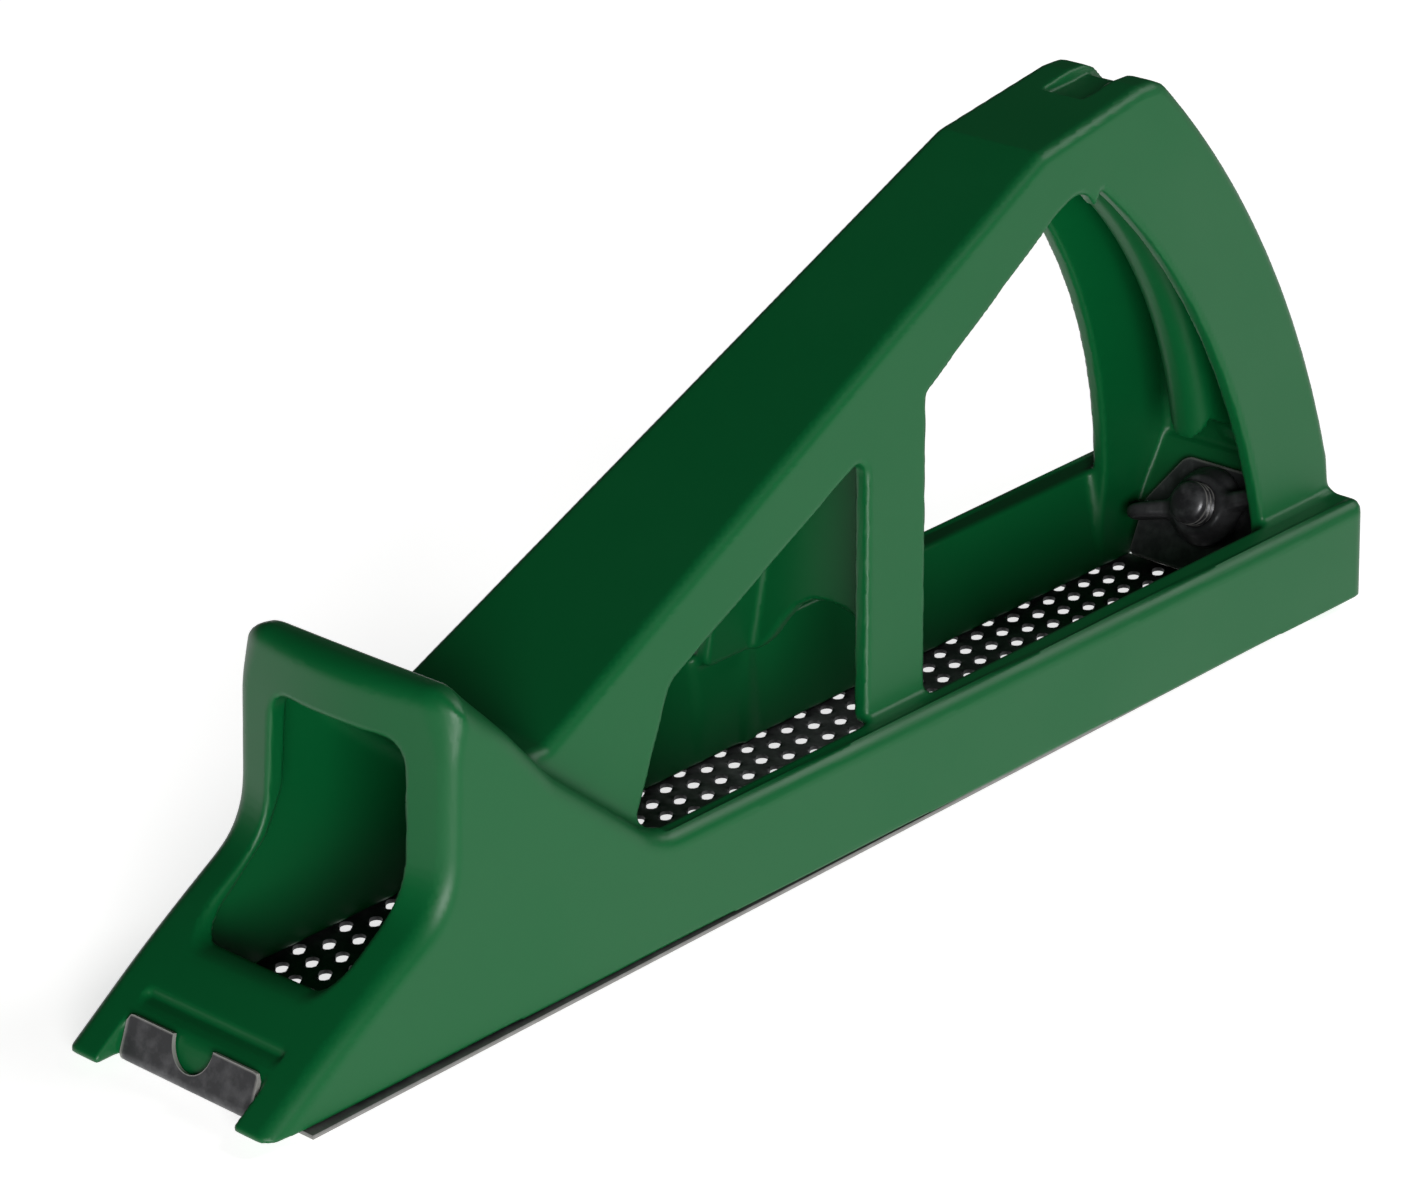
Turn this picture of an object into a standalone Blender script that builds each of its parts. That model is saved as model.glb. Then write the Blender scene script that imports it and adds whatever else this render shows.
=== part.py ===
"""A hand rasp plane: a moulded body with a horn and a bow handle, a perforated blade under it, and its wing-nut tensioner.

Run it with blender --background --python part.py. Sizes are millimetres, and MM turns them to metres.
-X is the nose, +X the heel, +Z is up, and Z = 0 is the plane of the tooth tips.
"""

import math

import bmesh
import bpy

MM = 0.001

# Overall sizes
LENGTH = 262.7
HEIGHT = 106.0
BASE_HALF_WIDTH = 25.3  # at the underside, mid length
FLARE = 0.015  # the base widens this much for each mm towards the heel
DRAFT = 0.0957  # the handle's sides lean in this much for each mm of height

# Blade
SHEET = 0.7
TOOTH = 1.2
BLADE_HALF_WIDTH = 24.9
TAB_HALF_WIDTH = 14.8
LIP_HEIGHT = 7.5
LIP_LEAN = 0.41
NOTCH_R = 4.5
HOLE_PITCH = 10.04
ROW_PITCH = 2.37
ROW_SHIFT = 0.579  # share of the pitch by which each row starts after the one before
LUG_REACH = 3.9  # how far the nose lugs stand ahead of the blade's front bend
HEEL_COVER = 8.8  # how far the heel reaches behind the blade's rear bend
TAB_LENGTH = 3.4

# Body
GAP = 0.3
WALL = 3.2
RIM = 21.0
NOSE_STEP = 3.2
NOSE_SLOPE = 0.684
HANDLE_HALF_WIDTH = 19.5  # at rim height
THROAT_HALF_WIDTH = 20.0  # at rim height
THROAT_DRAFT = 0.181
RECESS_HALF_WIDTH = 15.4
RECESS_TOP = 11.3
HORN_HEIGHT = 59.9
WINDOW_HALF_WIDTH = 15.4
WINDOW_LOW = 16.0
WINDOW_HIGH = 52.4
STRUT_X = 4.7  # the strut's front edge, at rim height
STRUT_LEAN = 0.145
STRUT_DEPTH = 14.6
ARCH_TOP = 31.5
SPINE_HALF_WIDTH = 4.7
SLOT_HALF_WIDTH = 4.25
SLOT_DEPTH = 1.7

# Tensioner: s runs down the bolt from its domed end, t stands square to it, up
BOLT_TILT = math.radians(27.0)
PLATE_FROM_HEEL = 10.9  # where the bolt's axis meets the tension plate
PLATE_AXIS_Z = 15.1
BOLT_R = 4.0
DOME = 1.4
NUT_START = 2.6
NUT_LENGTH = 4.5
NUT_R = 7.4
WING_REACH = 15.3
WING_THICK = 3.4
WING_TURN = math.radians(-20.0)
NUT_TRAVEL = 3.125
PLATE_THICK = 1.5
PLATE_HALF_WIDTH = 14.6
PLATE_DROP = 12.4
PLATE_RISE = 8.0
ANCHOR_WALL = 2.8
HEAD_R = 5.8
HEAD_THICK = 2.5

NOSE_X = -LENGTH / 2
HEEL_X = LENGTH / 2
SHEET_TOP = TOOTH + SHEET
UNDERSIDE = SHEET_TOP + GAP
FRONT_BEND = NOSE_X + LUG_REACH
REAR_BEND = HEEL_X - HEEL_COVER
CROWN_X = HEEL_X - 39.7
CREASE = (HEEL_X - 71.9, HEIGHT - 4.7)
VALLEY = (NOSE_X + 66.0, 40.9)
BAR_SLOPE = (CREASE[1] - VALLEY[1]) / (CREASE[0] - VALLEY[0])
BAR_DEPTH = 12.8  # upright distance from the bar's top face to its lower edge
THROAT_FRONT = NOSE_X + 81.9
SPRING_X = HEEL_X - 21.0  # the front edge of the bow where it meets the rim
BAR_STRUT_Z = RIM + 0.4 * (HEIGHT - RIM)  # about where the strut meets the bar

PLATE_S = NUT_START + NUT_LENGTH + GAP
BOLT_END_X = HEEL_X - PLATE_FROM_HEEL - PLATE_S * math.cos(BOLT_TILT)
BOLT_END_Z = PLATE_AXIS_Z + PLATE_S * math.sin(BOLT_TILT)
ANCHOR_S = PLATE_S + PLATE_THICK + GAP
HEAD_S = ANCHOR_S + ANCHOR_WALL + GAP


# ---- plain geometry ----


def rounded(corners, steps=5):
    """Outline through (x, z, radius) corners, each turned into an arc of that radius."""
    points = []
    for index, (x, z, radius) in enumerate(corners):
        if not radius:
            points.append((x, z))
            continue
        before = corners[index - 1]
        after = corners[(index + 1) % len(corners)]
        a = math.atan2(before[1] - z, before[0] - x)
        b = math.atan2(after[1] - z, after[0] - x)
        half = (b - a) % (2 * math.pi) / 2
        if half > math.pi / 2:
            half -= math.pi
        reach = radius / abs(math.sin(half))
        cx = x + reach * math.cos(a + half)
        cz = z + reach * math.sin(a + half)
        start = math.atan2(z + math.sin(a) * radius / math.tan(abs(half)) - cz,
                           x + math.cos(a) * radius / math.tan(abs(half)) - cx)
        sweep = math.copysign(math.pi - 2 * abs(half), -half)
        for step in range(steps + 1):
            angle = start + sweep * step / steps
            points.append((cx + radius * math.cos(angle), cz + radius * math.sin(angle)))
    return points


def bowed(start, end, bulge, steps=12):
    """Points from start to end on the circle that stands bulge to the left of the chord."""
    dx = end[0] - start[0]
    dz = end[1] - start[1]
    chord = math.hypot(dx, dz)
    radius = (chord * chord / 4 + bulge * bulge) / (2 * bulge)
    cx = (start[0] + end[0]) / 2 + dz / chord * (radius - bulge)
    cz = (start[1] + end[1]) / 2 - dx / chord * (radius - bulge)
    first = math.atan2(start[1] - cz, start[0] - cx)
    sweep = -2 * math.asin(chord / 2 / radius)
    return [
        (cx + radius * math.cos(first + sweep * step / steps), cz + radius * math.sin(first + sweep * step / steps))
        for step in range(steps + 1)
    ]


def along_bolt(s, t):
    """The (x, z) of a point s down the bolt and t square to it."""
    x = BOLT_END_X + s * math.cos(BOLT_TILT) + t * math.sin(BOLT_TILT)
    return x, BOLT_END_Z - s * math.sin(BOLT_TILT) + t * math.cos(BOLT_TILT)


def bolt_line(s, z):
    """The (x, z) at height z on the plane square to the bolt at s."""
    t = (z - along_bolt(s, 0)[1]) / math.cos(BOLT_TILT)
    return along_bolt(s, t)


# ---- half widths at (x, z) ----


def outer_half(x, z):
    return BASE_HALF_WIDTH + FLARE * x


def outer_inside(x, z):
    return outer_half(x, z) - WALL


def handle_half(x, z):
    return HANDLE_HALF_WIDTH - DRAFT * (z - RIM)


def handle_inside(x, z):
    return handle_half(x, z) - WALL


def throat_half(x, z):
    return THROAT_HALF_WIDTH + THROAT_DRAFT * (z - RIM)


def constant(width):
    return lambda x, z: width


# ---- Blender objects ----


def clear_scene():
    for obj in list(bpy.data.objects):
        bpy.data.objects.remove(obj, do_unlink=True)


def finish(name, colour, roughness, metallic):
    """A Principled material."""
    material = bpy.data.materials.new(name)
    material.use_nodes = True
    shader = material.node_tree.nodes["Principled BSDF"]
    shader.inputs["Base Color"].default_value = (*colour, 1)
    shader.inputs["Roughness"].default_value = roughness
    shader.inputs["Metallic"].default_value = metallic
    return material


def object_of(name, builder):
    """The object of a bmesh, with its faces made to point out."""
    bmesh.ops.recalc_face_normals(builder, faces=builder.faces)
    bmesh.ops.triangulate(builder, faces=builder.faces)
    mesh = bpy.data.meshes.new(name)
    builder.to_mesh(mesh)
    builder.free()
    obj = bpy.data.objects.new(name, mesh)
    bpy.context.scene.collection.objects.link(obj)
    return obj


def prism(name, outline, half):
    """A solid with this (x, z) outline, whose two sides stand half(x, z) from the middle plane."""
    builder = bmesh.new()
    near = [builder.verts.new((x * MM, -half(x, z) * MM, z * MM)) for x, z in outline]
    far = [builder.verts.new((x * MM, half(x, z) * MM, z * MM)) for x, z in outline]
    builder.faces.new(near)
    builder.faces.new(far[::-1])
    for index in range(len(outline)):
        after = (index + 1) % len(outline)
        builder.faces.new((near[index], near[after], far[after], far[index]))
    return object_of(name, builder)


def swept_across(name, outline, start, end):
    """A solid with this (y, z) outline, from x = start to x = end."""
    builder = bmesh.new()
    first = [builder.verts.new((start * MM, y * MM, z * MM)) for y, z in outline]
    last = [builder.verts.new((end * MM, y * MM, z * MM)) for y, z in outline]
    builder.faces.new(first)
    builder.faces.new(last[::-1])
    for index in range(len(outline)):
        after = (index + 1) % len(outline)
        builder.faces.new((first[index], first[after], last[after], last[index]))
    return object_of(name, builder)


def turned(name, profile, sides=32):
    """A solid turned about the bolt's axis, from (s, r) points that start and end on the axis."""
    builder = bmesh.new()
    rings = []
    for s, r in profile:
        count = sides if r else 1
        ring = []
        for side in range(count):
            angle = 2 * math.pi * side / sides
            x, z = along_bolt(s, r * math.sin(angle))
            ring.append(builder.verts.new((x * MM, r * math.cos(angle) * MM, z * MM)))
        rings.append(ring)
    for ring, following in zip(rings, rings[1:]):
        for side in range(sides):
            after = (side + 1) % sides
            corners = [ring[side % len(ring)], ring[after % len(ring)]]
            corners += [following[after % len(following)], following[side % len(following)]]
            unique = [corner for place, corner in enumerate(corners) if corner not in corners[:place]]
            builder.faces.new(unique)
    return object_of(name, builder)


def boolean(target, operation, tool):
    """Adds a Boolean of the tool, which stays in the scene as a hidden guide."""
    tool.hide_render = True
    tool.display_type = "WIRE"
    modifier = target.modifiers.new(tool.name, "BOOLEAN")
    modifier.operation = operation
    modifier.object = tool
    return target


def add(target, *tools):
    for tool in tools:
        boolean(target, "UNION", tool)


def cut(target, *tools):
    for tool in tools:
        boolean(target, "DIFFERENCE", tool)


def dress(obj, material, smooth=False):
    obj.data.materials.append(material)
    if smooth:
        obj.data.shade_smooth()
        obj.data.set_sharp_from_angle(angle=math.radians(35))


# ---- the body's moulding ----


def tub():
    """The base and the horn: one outline between two upright sides."""
    horn_front = NOSE_X + 34.75
    outline = rounded([
        (NOSE_X, UNDERSIDE, 0),
        (NOSE_X, NOSE_STEP, 0),
        (horn_front, NOSE_STEP + NOSE_SLOPE * 34.75, 14),
        (NOSE_X + 38.9, HORN_HEIGHT + 0.3, 4),
        (NOSE_X + 44.9, HORN_HEIGHT - 0.4, 2),
        (NOSE_X + 61.4, 39.5, 12),
        (THROAT_FRONT + 1.0, RIM, 12),
        (HEEL_X, RIM, 1.5),
        (HEEL_X, UNDERSIDE, 0),
    ])
    return prism("tub", outline, outer_half)


def throat():
    """The open tray over the blade, under the handle."""
    outline = [
        (THROAT_FRONT + 2.4, UNDERSIDE - 2),
        (THROAT_FRONT, RIM),
        (THROAT_FRONT, RIM + 30),
        (HEEL_X - WALL, RIM + 30),
        (HEEL_X - WALL, UNDERSIDE - 2),
    ]
    return prism("throat", outline, throat_half)


def rear_curve(inset):
    """The rear face of the bow, this far inside its outer skin."""
    return bowed((CROWN_X + 1.2 - inset * 0.9, HEIGHT - 1.2 - inset), (HEEL_X - 0.35 - inset, 27.0), 6.5)


def handle():
    """The bar, the strut and the bow as one drafted slab, before its windows."""
    outline = [(NOSE_X + 62, 25), (NOSE_X + 59.7, VALLEY[1] + 0.4), VALLEY, CREASE, (CROWN_X - 5.5, HEIGHT), (CROWN_X - 1.5, HEIGHT)]
    outline += rear_curve(0)
    outline += [(HEEL_X - 0.35, UNDERSIDE), (THROAT_FRONT - WALL, UNDERSIDE)]
    return prism("handle_slab", outline, handle_half)


def bar_low(x):
    """The height of the bar's lower edge at x."""
    return VALLEY[1] + BAR_SLOPE * (x - VALLEY[0]) - BAR_DEPTH


def strut_edge(z):
    """The x of the strut's front edge at height z."""
    return STRUT_X + STRUT_LEAN * (z - RIM)


def front_window():
    """The opening between the horn, the bar and the strut, and down through the tray."""
    foot = THROAT_FRONT + 11.4
    low = UNDERSIDE - 2
    high = bar_low(strut_edge(BAR_STRUT_Z))
    outline = rounded([
        (THROAT_FRONT + 2.4, UNDERSIDE - 2, 0),
        (THROAT_FRONT, RIM, 4),
        (foot, bar_low(foot) + 0.6, 5),
        (strut_edge(high), high, 1.2),
        (strut_edge(low), low, 0),
    ])
    return prism("front_window", outline, constant(2 * BASE_HALF_WIDTH))


def rear_window():
    """The hand's opening between the strut, the bar and the bow."""
    low = UNDERSIDE - 2
    high = bar_low(strut_edge(BAR_STRUT_Z) + STRUT_DEPTH) - 1.6
    left = strut_edge(high) + STRUT_DEPTH
    outline = [(SPRING_X, low), (strut_edge(low) + STRUT_DEPTH, low), (left, high)]
    apex = HEEL_X - 64.5
    outline += rounded([
        (left, high, 0),
        (apex - 4.5, bar_low(apex - 4.5) + 0.4, 2),
        (apex + 3.5, HEIGHT - 12.6, 5),
        (SPRING_X, 0, 0),
    ])[1:-1]
    outline += bowed((HEEL_X - 57.4, HEIGHT - 14.6), (SPRING_X, RIM), 7.3)
    return prism("rear_window", outline, constant(2 * BASE_HALF_WIDTH))


def bar_channel():
    """The hollow under the bar, open below."""
    start = THROAT_FRONT + 15
    end = CREASE[0] + 2
    skin = WALL + 0.3
    top = BAR_DEPTH - skin
    outline = [
        (start, bar_low(start) - 3),
        (end, bar_low(end) - 3),
        (end, bar_low(CREASE[0]) + top),
        (CREASE[0], bar_low(CREASE[0]) + top),
        (start, bar_low(start) + top),
    ]
    return prism("bar_channel", outline, handle_inside)


def strut_channel():
    """The hollow of the strut, open to the front."""
    low = UNDERSIDE - 2
    top = bar_low(strut_edge(BAR_STRUT_Z))
    rear = STRUT_DEPTH - WALL
    outline = [
        (strut_edge(low) - 5, low),
        (strut_edge(low) + rear, low),
        (strut_edge(top) + rear, top),
        (strut_edge(top) - 5, top - 2.5),
    ]
    return prism("strut_channel", outline, handle_inside)


def strut_arch():
    """The arched gap under the strut's web, which lets dust pass along the tray."""
    side = THROAT_HALF_WIDTH - THROAT_DRAFT * (RIM - UNDERSIDE)
    right = [(side, UNDERSIDE - 2), (side, 17.5), (13.0, ARCH_TOP - 10.0), (10.4, ARCH_TOP - 6.2)]
    right += [(7.6, ARCH_TOP - 2.7), (4.0, ARCH_TOP - 0.6)]
    outline = right + [(0, ARCH_TOP)] + [(-y, z) for y, z in reversed(right)]
    return swept_across("strut_arch", outline, STRUT_X + STRUT_DEPTH - WALL - 6, STRUT_X + STRUT_DEPTH + 4)


def bow_channel():
    """The hollow of the bow, open to the front and down into the tray."""
    outline = [(CREASE[0] + 0.5, CREASE[1] - WALL - 0.6), (CROWN_X - 6.5, HEIGHT - WALL)]
    outline += rear_curve(WALL)
    outline += [
        (HEEL_X - WALL - 0.35, UNDERSIDE - 2),
        (SPRING_X - 10, UNDERSIDE - 2),
        (SPRING_X - 10, 40),
        (HEEL_X - 60, HEIGHT - 26),
        (CREASE[0] + 0.5, HEIGHT - 22),
    ]
    return prism("bow_channel", outline, handle_inside)


def spine():
    """The rounded rib down the middle of the bow's hollow."""
    outline = bowed((HEEL_X - 47.5, HEIGHT - 20), (HEEL_X - 18.4, 26.0), 6.5)
    outline += [(HEEL_X - 2, 26.0)]
    outline += rear_curve(1.5)[::-1][1:]
    return prism("spine", outline, constant(SPINE_HALF_WIDTH))


def nut_sweep():
    """The room that the wing nut turns in, cut out of the spine's foot."""
    start = NUT_START - 2.6 - NUT_TRAVEL - 2 * GAP
    radius = WING_REACH + 2 * GAP
    return turned("nut_sweep", [(start, 0), (start, radius), (ANCHOR_S, radius), (ANCHOR_S, 0)])


def heel_block():
    """The solid heel behind the tension plate, which the bolt's head pulls on."""
    low = SHEET_TOP + LIP_HEIGHT
    outline = [
        bolt_line(ANCHOR_S, low),
        bolt_line(ANCHOR_S, 24.0),
        (HEEL_X - 1, 24.0),
        (HEEL_X - 1, UNDERSIDE),
        (REAR_BEND + 3 * GAP, UNDERSIDE),
        (REAR_BEND + 3 * GAP, low),
    ]
    return prism("heel_block", outline, lambda x, z: handle_half(x, z) - WALL / 2)


def head_pocket():
    """The slot that the bolt's head drops into from below."""
    start = ANCHOR_S + ANCHOR_WALL
    end = HEAD_S + HEAD_THICK + GAP
    top = HEAD_R + 2 * GAP
    outline = [along_bolt(start, top), along_bolt(end, top), along_bolt(end, -18), along_bolt(start, -18)]
    return prism("head_pocket", outline, constant(top))


def bolt_hole():
    radius = BOLT_R + GAP
    end = HEAD_S + HEAD_THICK / 2
    return turned("bolt_hole", [(PLATE_S, 0), (PLATE_S, radius), (end, radius), (end, 0)])


def horn_hollow():
    """The hollow of the horn, open below and, through its window, to the front."""
    low = UNDERSIDE - 2
    outline = [
        (NOSE_X + 17.8, low),
        (NOSE_X + 17.8, NOSE_STEP + NOSE_SLOPE * 17.8 - WALL),
        (NOSE_X + 28.5, 19.8),
        (NOSE_X + 35.6, 26.5),
        (NOSE_X + 39.2, 34.0),
        (NOSE_X + 42.0, HORN_HEIGHT - 4.2),
        (NOSE_X + 43.2, HORN_HEIGHT - 4.2),
        (NOSE_X + 59.3, 36.8),
        (THROAT_FRONT - 8.6, 24.7),
        (THROAT_FRONT - WALL - 0.6, RIM - 0.5),
        (THROAT_FRONT + 2.4 - WALL, low),
    ]
    return prism("horn_hollow", outline, outer_inside)


def bar_root_hollow():
    """The hollow in the bar's root, which opens down into the horn's."""
    outline = [
        (NOSE_X + 65.4, 24.0),
        (NOSE_X + 65.4, VALLEY[1] - WALL - 0.9),
        (THROAT_FRONT - 3.6, 39.0),
        (THROAT_FRONT - 1.6, 33.0),
        (THROAT_FRONT - WALL - 1.4, RIM - 2),
    ]
    return prism("bar_root_hollow", outline, handle_inside)


def horn_window():
    wide = WINDOW_HALF_WIDTH + 0.6
    outline = rounded([
        (-wide, WINDOW_LOW, 6),
        (wide, WINDOW_LOW, 6),
        (WINDOW_HALF_WIDTH - 0.4, WINDOW_HIGH, 4),
        (-WINDOW_HALF_WIDTH + 0.4, WINDOW_HIGH, 4),
    ])
    return swept_across("horn_window", outline, NOSE_X, NOSE_X + 42.5)


def lip_back(z):
    """The x of the seat behind the blade's front lip, at height z."""
    lean = LIP_LEAN * (z - TOOTH - SHEET / 2)
    return FRONT_BEND + lean + (SHEET / 2 + GAP) * math.hypot(1, LIP_LEAN)


def nose_recess():
    """The gap between the lugs, where the blade's front lip hooks over the nose."""
    low = UNDERSIDE - 4
    high = TOOTH + LIP_HEIGHT + 0.6
    edge = NOSE_X + (RECESS_TOP - NOSE_STEP) / NOSE_SLOPE - 0.2
    outline = [
        (NOSE_X - 5, low),
        (lip_back(low), low),
        (lip_back(high), high),
        (edge, RECESS_TOP),
        (edge, RECESS_TOP + 8),
        (NOSE_X - 5, RECESS_TOP + 8),
    ]
    return prism("nose_recess", outline, constant(RECESS_HALF_WIDTH))


def crown_slot():
    """The shallow slot over the crown."""
    outline = [(HEEL_X - 52.3, HEIGHT + 4), (HEEL_X - 52.3, HEIGHT - 1.0 - SLOT_DEPTH)]
    outline += [(CROWN_X - 1.0, HEIGHT - SLOT_DEPTH), (CROWN_X + 9.0, HEIGHT - 13.4), (CROWN_X + 13, HEIGHT - 8)]
    outline += [(CROWN_X + 4, HEIGHT + 4)]
    return prism("crown_slot", outline, constant(SLOT_HALF_WIDTH))


def build_body(material):
    body = tub()
    body.name = "body"
    slab = handle()
    cut(slab, front_window(), rear_window(), bar_channel(), strut_channel(), strut_arch(), bow_channel())
    rib = spine()
    cut(rib, nut_sweep())
    add(slab, rib, heel_block())
    cut(body, throat())
    add(body, slab)
    cut(body, horn_hollow(), bar_root_hollow(), horn_window(), nose_recess(), crown_slot(), bolt_hole(), head_pocket())
    dress(body, material)


# ---- the blade ----


def bounded(low, high, first, pitch):
    """low, high, and the lattice lines first + k pitch between them, kept a quarter pitch off both."""
    count = math.ceil((low + pitch / 4 - first) / pitch)
    lines = [low]
    while first + count * pitch < high - pitch / 4:
        lines.append(first + count * pitch)
        count += 1
    return lines + [high]


def toothed_sheet():
    """The blade's flat sole: a sheet whose underside is a pyramid for each tooth."""
    start = FRONT_BEND + TAB_LENGTH
    end = REAR_BEND - TAB_LENGTH
    rows = bounded(-BLADE_HALF_WIDTH, BLADE_HALF_WIDTH, 0.27, ROW_PITCH)
    lines = []
    for row in range(len(rows) - 1):
        offset = (row * ROW_SHIFT % 1) * HOLE_PITCH
        lines.append(bounded(start, end, start - HOLE_PITCH + offset, HOLE_PITCH))
    builder = bmesh.new()
    edge_points = []
    for border, y in enumerate(rows):
        beside = lines[max(border - 1, 0):border + 1]
        xs = sorted({round(x, 4) for line in beside for x in line})
        edge_points.append({x: builder.verts.new((x * MM, y * MM, TOOTH * MM)) for x in xs})
    for row, line in enumerate(lines):
        for low, high in zip(line, line[1:]):
            low, high = round(low, 4), round(high, 4)
            near = [edge_points[row][x] for x in sorted(edge_points[row]) if low <= x <= high]
            far = [edge_points[row + 1][x] for x in sorted(edge_points[row + 1]) if low <= x <= high]
            ring = near + far[::-1]
            tip = builder.verts.new(((low + high) / 2 * MM, (rows[row] + rows[row + 1]) / 2 * MM, 0))
            for index, corner in enumerate(ring):
                builder.faces.new((corner, ring[(index + 1) % len(ring)], tip))
    close_top(builder, edge_points, start, end, rows)
    return object_of("blade", builder)


def close_top(builder, edge_points, start, end, rows):
    """The sheet's top face and its four upright edges."""
    tops = {}
    for x in (start, end):
        for y in rows:
            tops[x, y] = builder.verts.new((x * MM, y * MM, SHEET_TOP * MM))
    for x in (start, end):
        for low, high in zip(range(len(rows) - 1), range(1, len(rows))):
            key = round(x, 4)
            corners = (edge_points[low][key], edge_points[high][key], tops[x, rows[high]], tops[x, rows[low]])
            builder.faces.new(corners)
    for low, high in zip(rows, rows[1:]):
        builder.faces.new((tops[start, low], tops[end, low], tops[end, high], tops[start, high]))
    for border in (0, len(rows) - 1):
        below = [edge_points[border][x] for x in sorted(edge_points[border])]
        builder.faces.new(below + [tops[end, rows[border]], tops[start, rows[border]]])


def end_lip(name, bend, facing):
    """The narrow tab at one end of the blade, bent up into a lip that leans back over it."""
    inner = bend + facing * (TAB_LENGTH + 1.5)
    middle = TOOTH + SHEET / 2
    top = TOOTH + LIP_HEIGHT
    lean = facing * LIP_LEAN * (top - middle)
    side = SHEET / 2 * math.hypot(1, LIP_LEAN)
    outline = [
        (inner, TOOTH),
        (bend, TOOTH),
        (bend - facing * side, middle),
        (bend + lean - facing * side, top),
        (bend + lean + facing * side, top),
        (bend + facing * (side + LIP_LEAN * SHEET / 2), SHEET_TOP),
        (inner, SHEET_TOP),
    ]
    return prism(name, outline, constant(TAB_HALF_WIDTH))


def lip_notch(name, bend):
    """The round cutter of the thumb notch in a lip's top edge."""
    steps = 16
    top = TOOTH + LIP_HEIGHT
    outline = [
        (NOTCH_R * math.cos(2 * math.pi * step / steps), top + NOTCH_R * math.sin(2 * math.pi * step / steps))
        for step in range(steps)
    ]
    reach = 2 * LIP_HEIGHT
    return swept_across(name, outline, bend - reach, bend + reach)


def build_blade(material):
    blade = toothed_sheet()
    for name, bend, facing in (("front", FRONT_BEND, 1), ("rear", REAR_BEND, -1)):
        lip = end_lip(f"{name}_lip", bend, facing)
        cut(lip, lip_notch(f"{name}_notch", bend))
        add(blade, lip)
    dress(blade, material)


# ---- the tensioner ----


def build_bolt(material):
    """The bolt: a domed end, a plain shank at the thread's outer size, and its round head in the heel."""
    end = HEAD_S + HEAD_THICK
    profile = [(-DOME, 0)]
    for step in range(1, 6):
        angle = math.pi / 2 * step / 5
        profile.append((-DOME * math.cos(angle), BOLT_R * math.sin(angle)))
    profile += [(HEAD_S, BOLT_R), (HEAD_S, HEAD_R), (end, HEAD_R), (end, 0)]
    dress(turned("tension_bolt", profile), material, smooth=True)


def wing(name, side):
    """One wing of the nut, a thick leaf that sweeps forward from the hub."""
    builder = bmesh.new()
    root = NUT_START + NUT_LENGTH
    outline = [
        (root - 0.4, BOLT_R + 1.6),
        (root - 0.8, NUT_R - 0.2),
        (NUT_START + 2.4, WING_REACH - 1.2),
        (NUT_START + 1.2, WING_REACH),
        (NUT_START - 1.4, WING_REACH - 0.4),
        (NUT_START - 2.0, WING_REACH - 2.2),
        (NUT_START + 0.4, BOLT_R + 1.6),
    ]
    rings = []
    for offset in (-WING_THICK / 2, WING_THICK / 2):
        ring = []
        for s, r in outline:
            y = side * r * math.cos(WING_TURN) - offset * math.sin(WING_TURN)
            t = side * r * math.sin(WING_TURN) + offset * math.cos(WING_TURN)
            x, z = along_bolt(s, t)
            ring.append(builder.verts.new((x * MM, y * MM, z * MM)))
        rings.append(ring)
    builder.faces.new(rings[0])
    builder.faces.new(rings[1][::-1])
    for index in range(len(outline)):
        after = (index + 1) % len(outline)
        builder.faces.new((rings[0][index], rings[0][after], rings[1][after], rings[1][index]))
    return object_of(name, builder)


def build_wing_nut(material):
    bore = BOLT_R + GAP
    end = NUT_START + NUT_LENGTH
    profile = [(NUT_START, 0), (NUT_START, NUT_R - 1.8), (end - 1.6, NUT_R), (end, NUT_R), (end, 0)]
    nut = turned("wing_nut", profile)
    add(nut, wing("near_wing", -1), wing("far_wing", 1))
    cut(nut, turned("nut_bore", [(NUT_START - 4, 0), (NUT_START - 4, bore), (end + 4, bore), (end + 4, 0)]))
    x, z = along_bolt(0, 0)
    place_origin(nut, x, z)
    dress(nut, material, smooth=True)


def place_origin(obj, x, z):
    """Moves the object's origin to (x, 0, z), with its mesh where it was."""
    for vertex in obj.data.vertices:
        vertex.co.x -= x * MM
        vertex.co.z -= z * MM
    obj.location = (x * MM, 0, z * MM)


def build_tension_plate(material):
    """The pressed plate between the nut and the heel, whose foot hooks in front of the blade's rear lip."""
    rise = PLATE_RISE
    drop = PLATE_DROP
    builder = bmesh.new()
    face = rounded([
        (-PLATE_HALF_WIDTH, -drop, 1.5),
        (PLATE_HALF_WIDTH, -drop, 1.5),
        (PLATE_HALF_WIDTH, -2.0, 3),
        (NUT_R + 1, rise, 3),
        (-NUT_R - 1, rise, 3),
        (-PLATE_HALF_WIDTH, -2.0, 3),
    ], steps=3)
    rings = []
    for s in (PLATE_S, PLATE_S + PLATE_THICK):
        ring = []
        for y, t in face:
            x, z = along_bolt(s, t)
            ring.append(builder.verts.new((x * MM, y * MM, z * MM)))
        rings.append(ring)
    builder.faces.new(rings[0])
    builder.faces.new(rings[1][::-1])
    for index in range(len(face)):
        after = (index + 1) % len(face)
        builder.faces.new((rings[0][index], rings[0][after], rings[1][after], rings[1][index]))
    plate = object_of("tension_plate", builder)
    hole = BOLT_R + GAP
    cut(plate, turned("plate_hole", [(PLATE_S - 2, 0), (PLATE_S - 2, hole), (PLATE_S + 4, hole), (PLATE_S + 4, 0)]))
    dress(plate, material)


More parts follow.
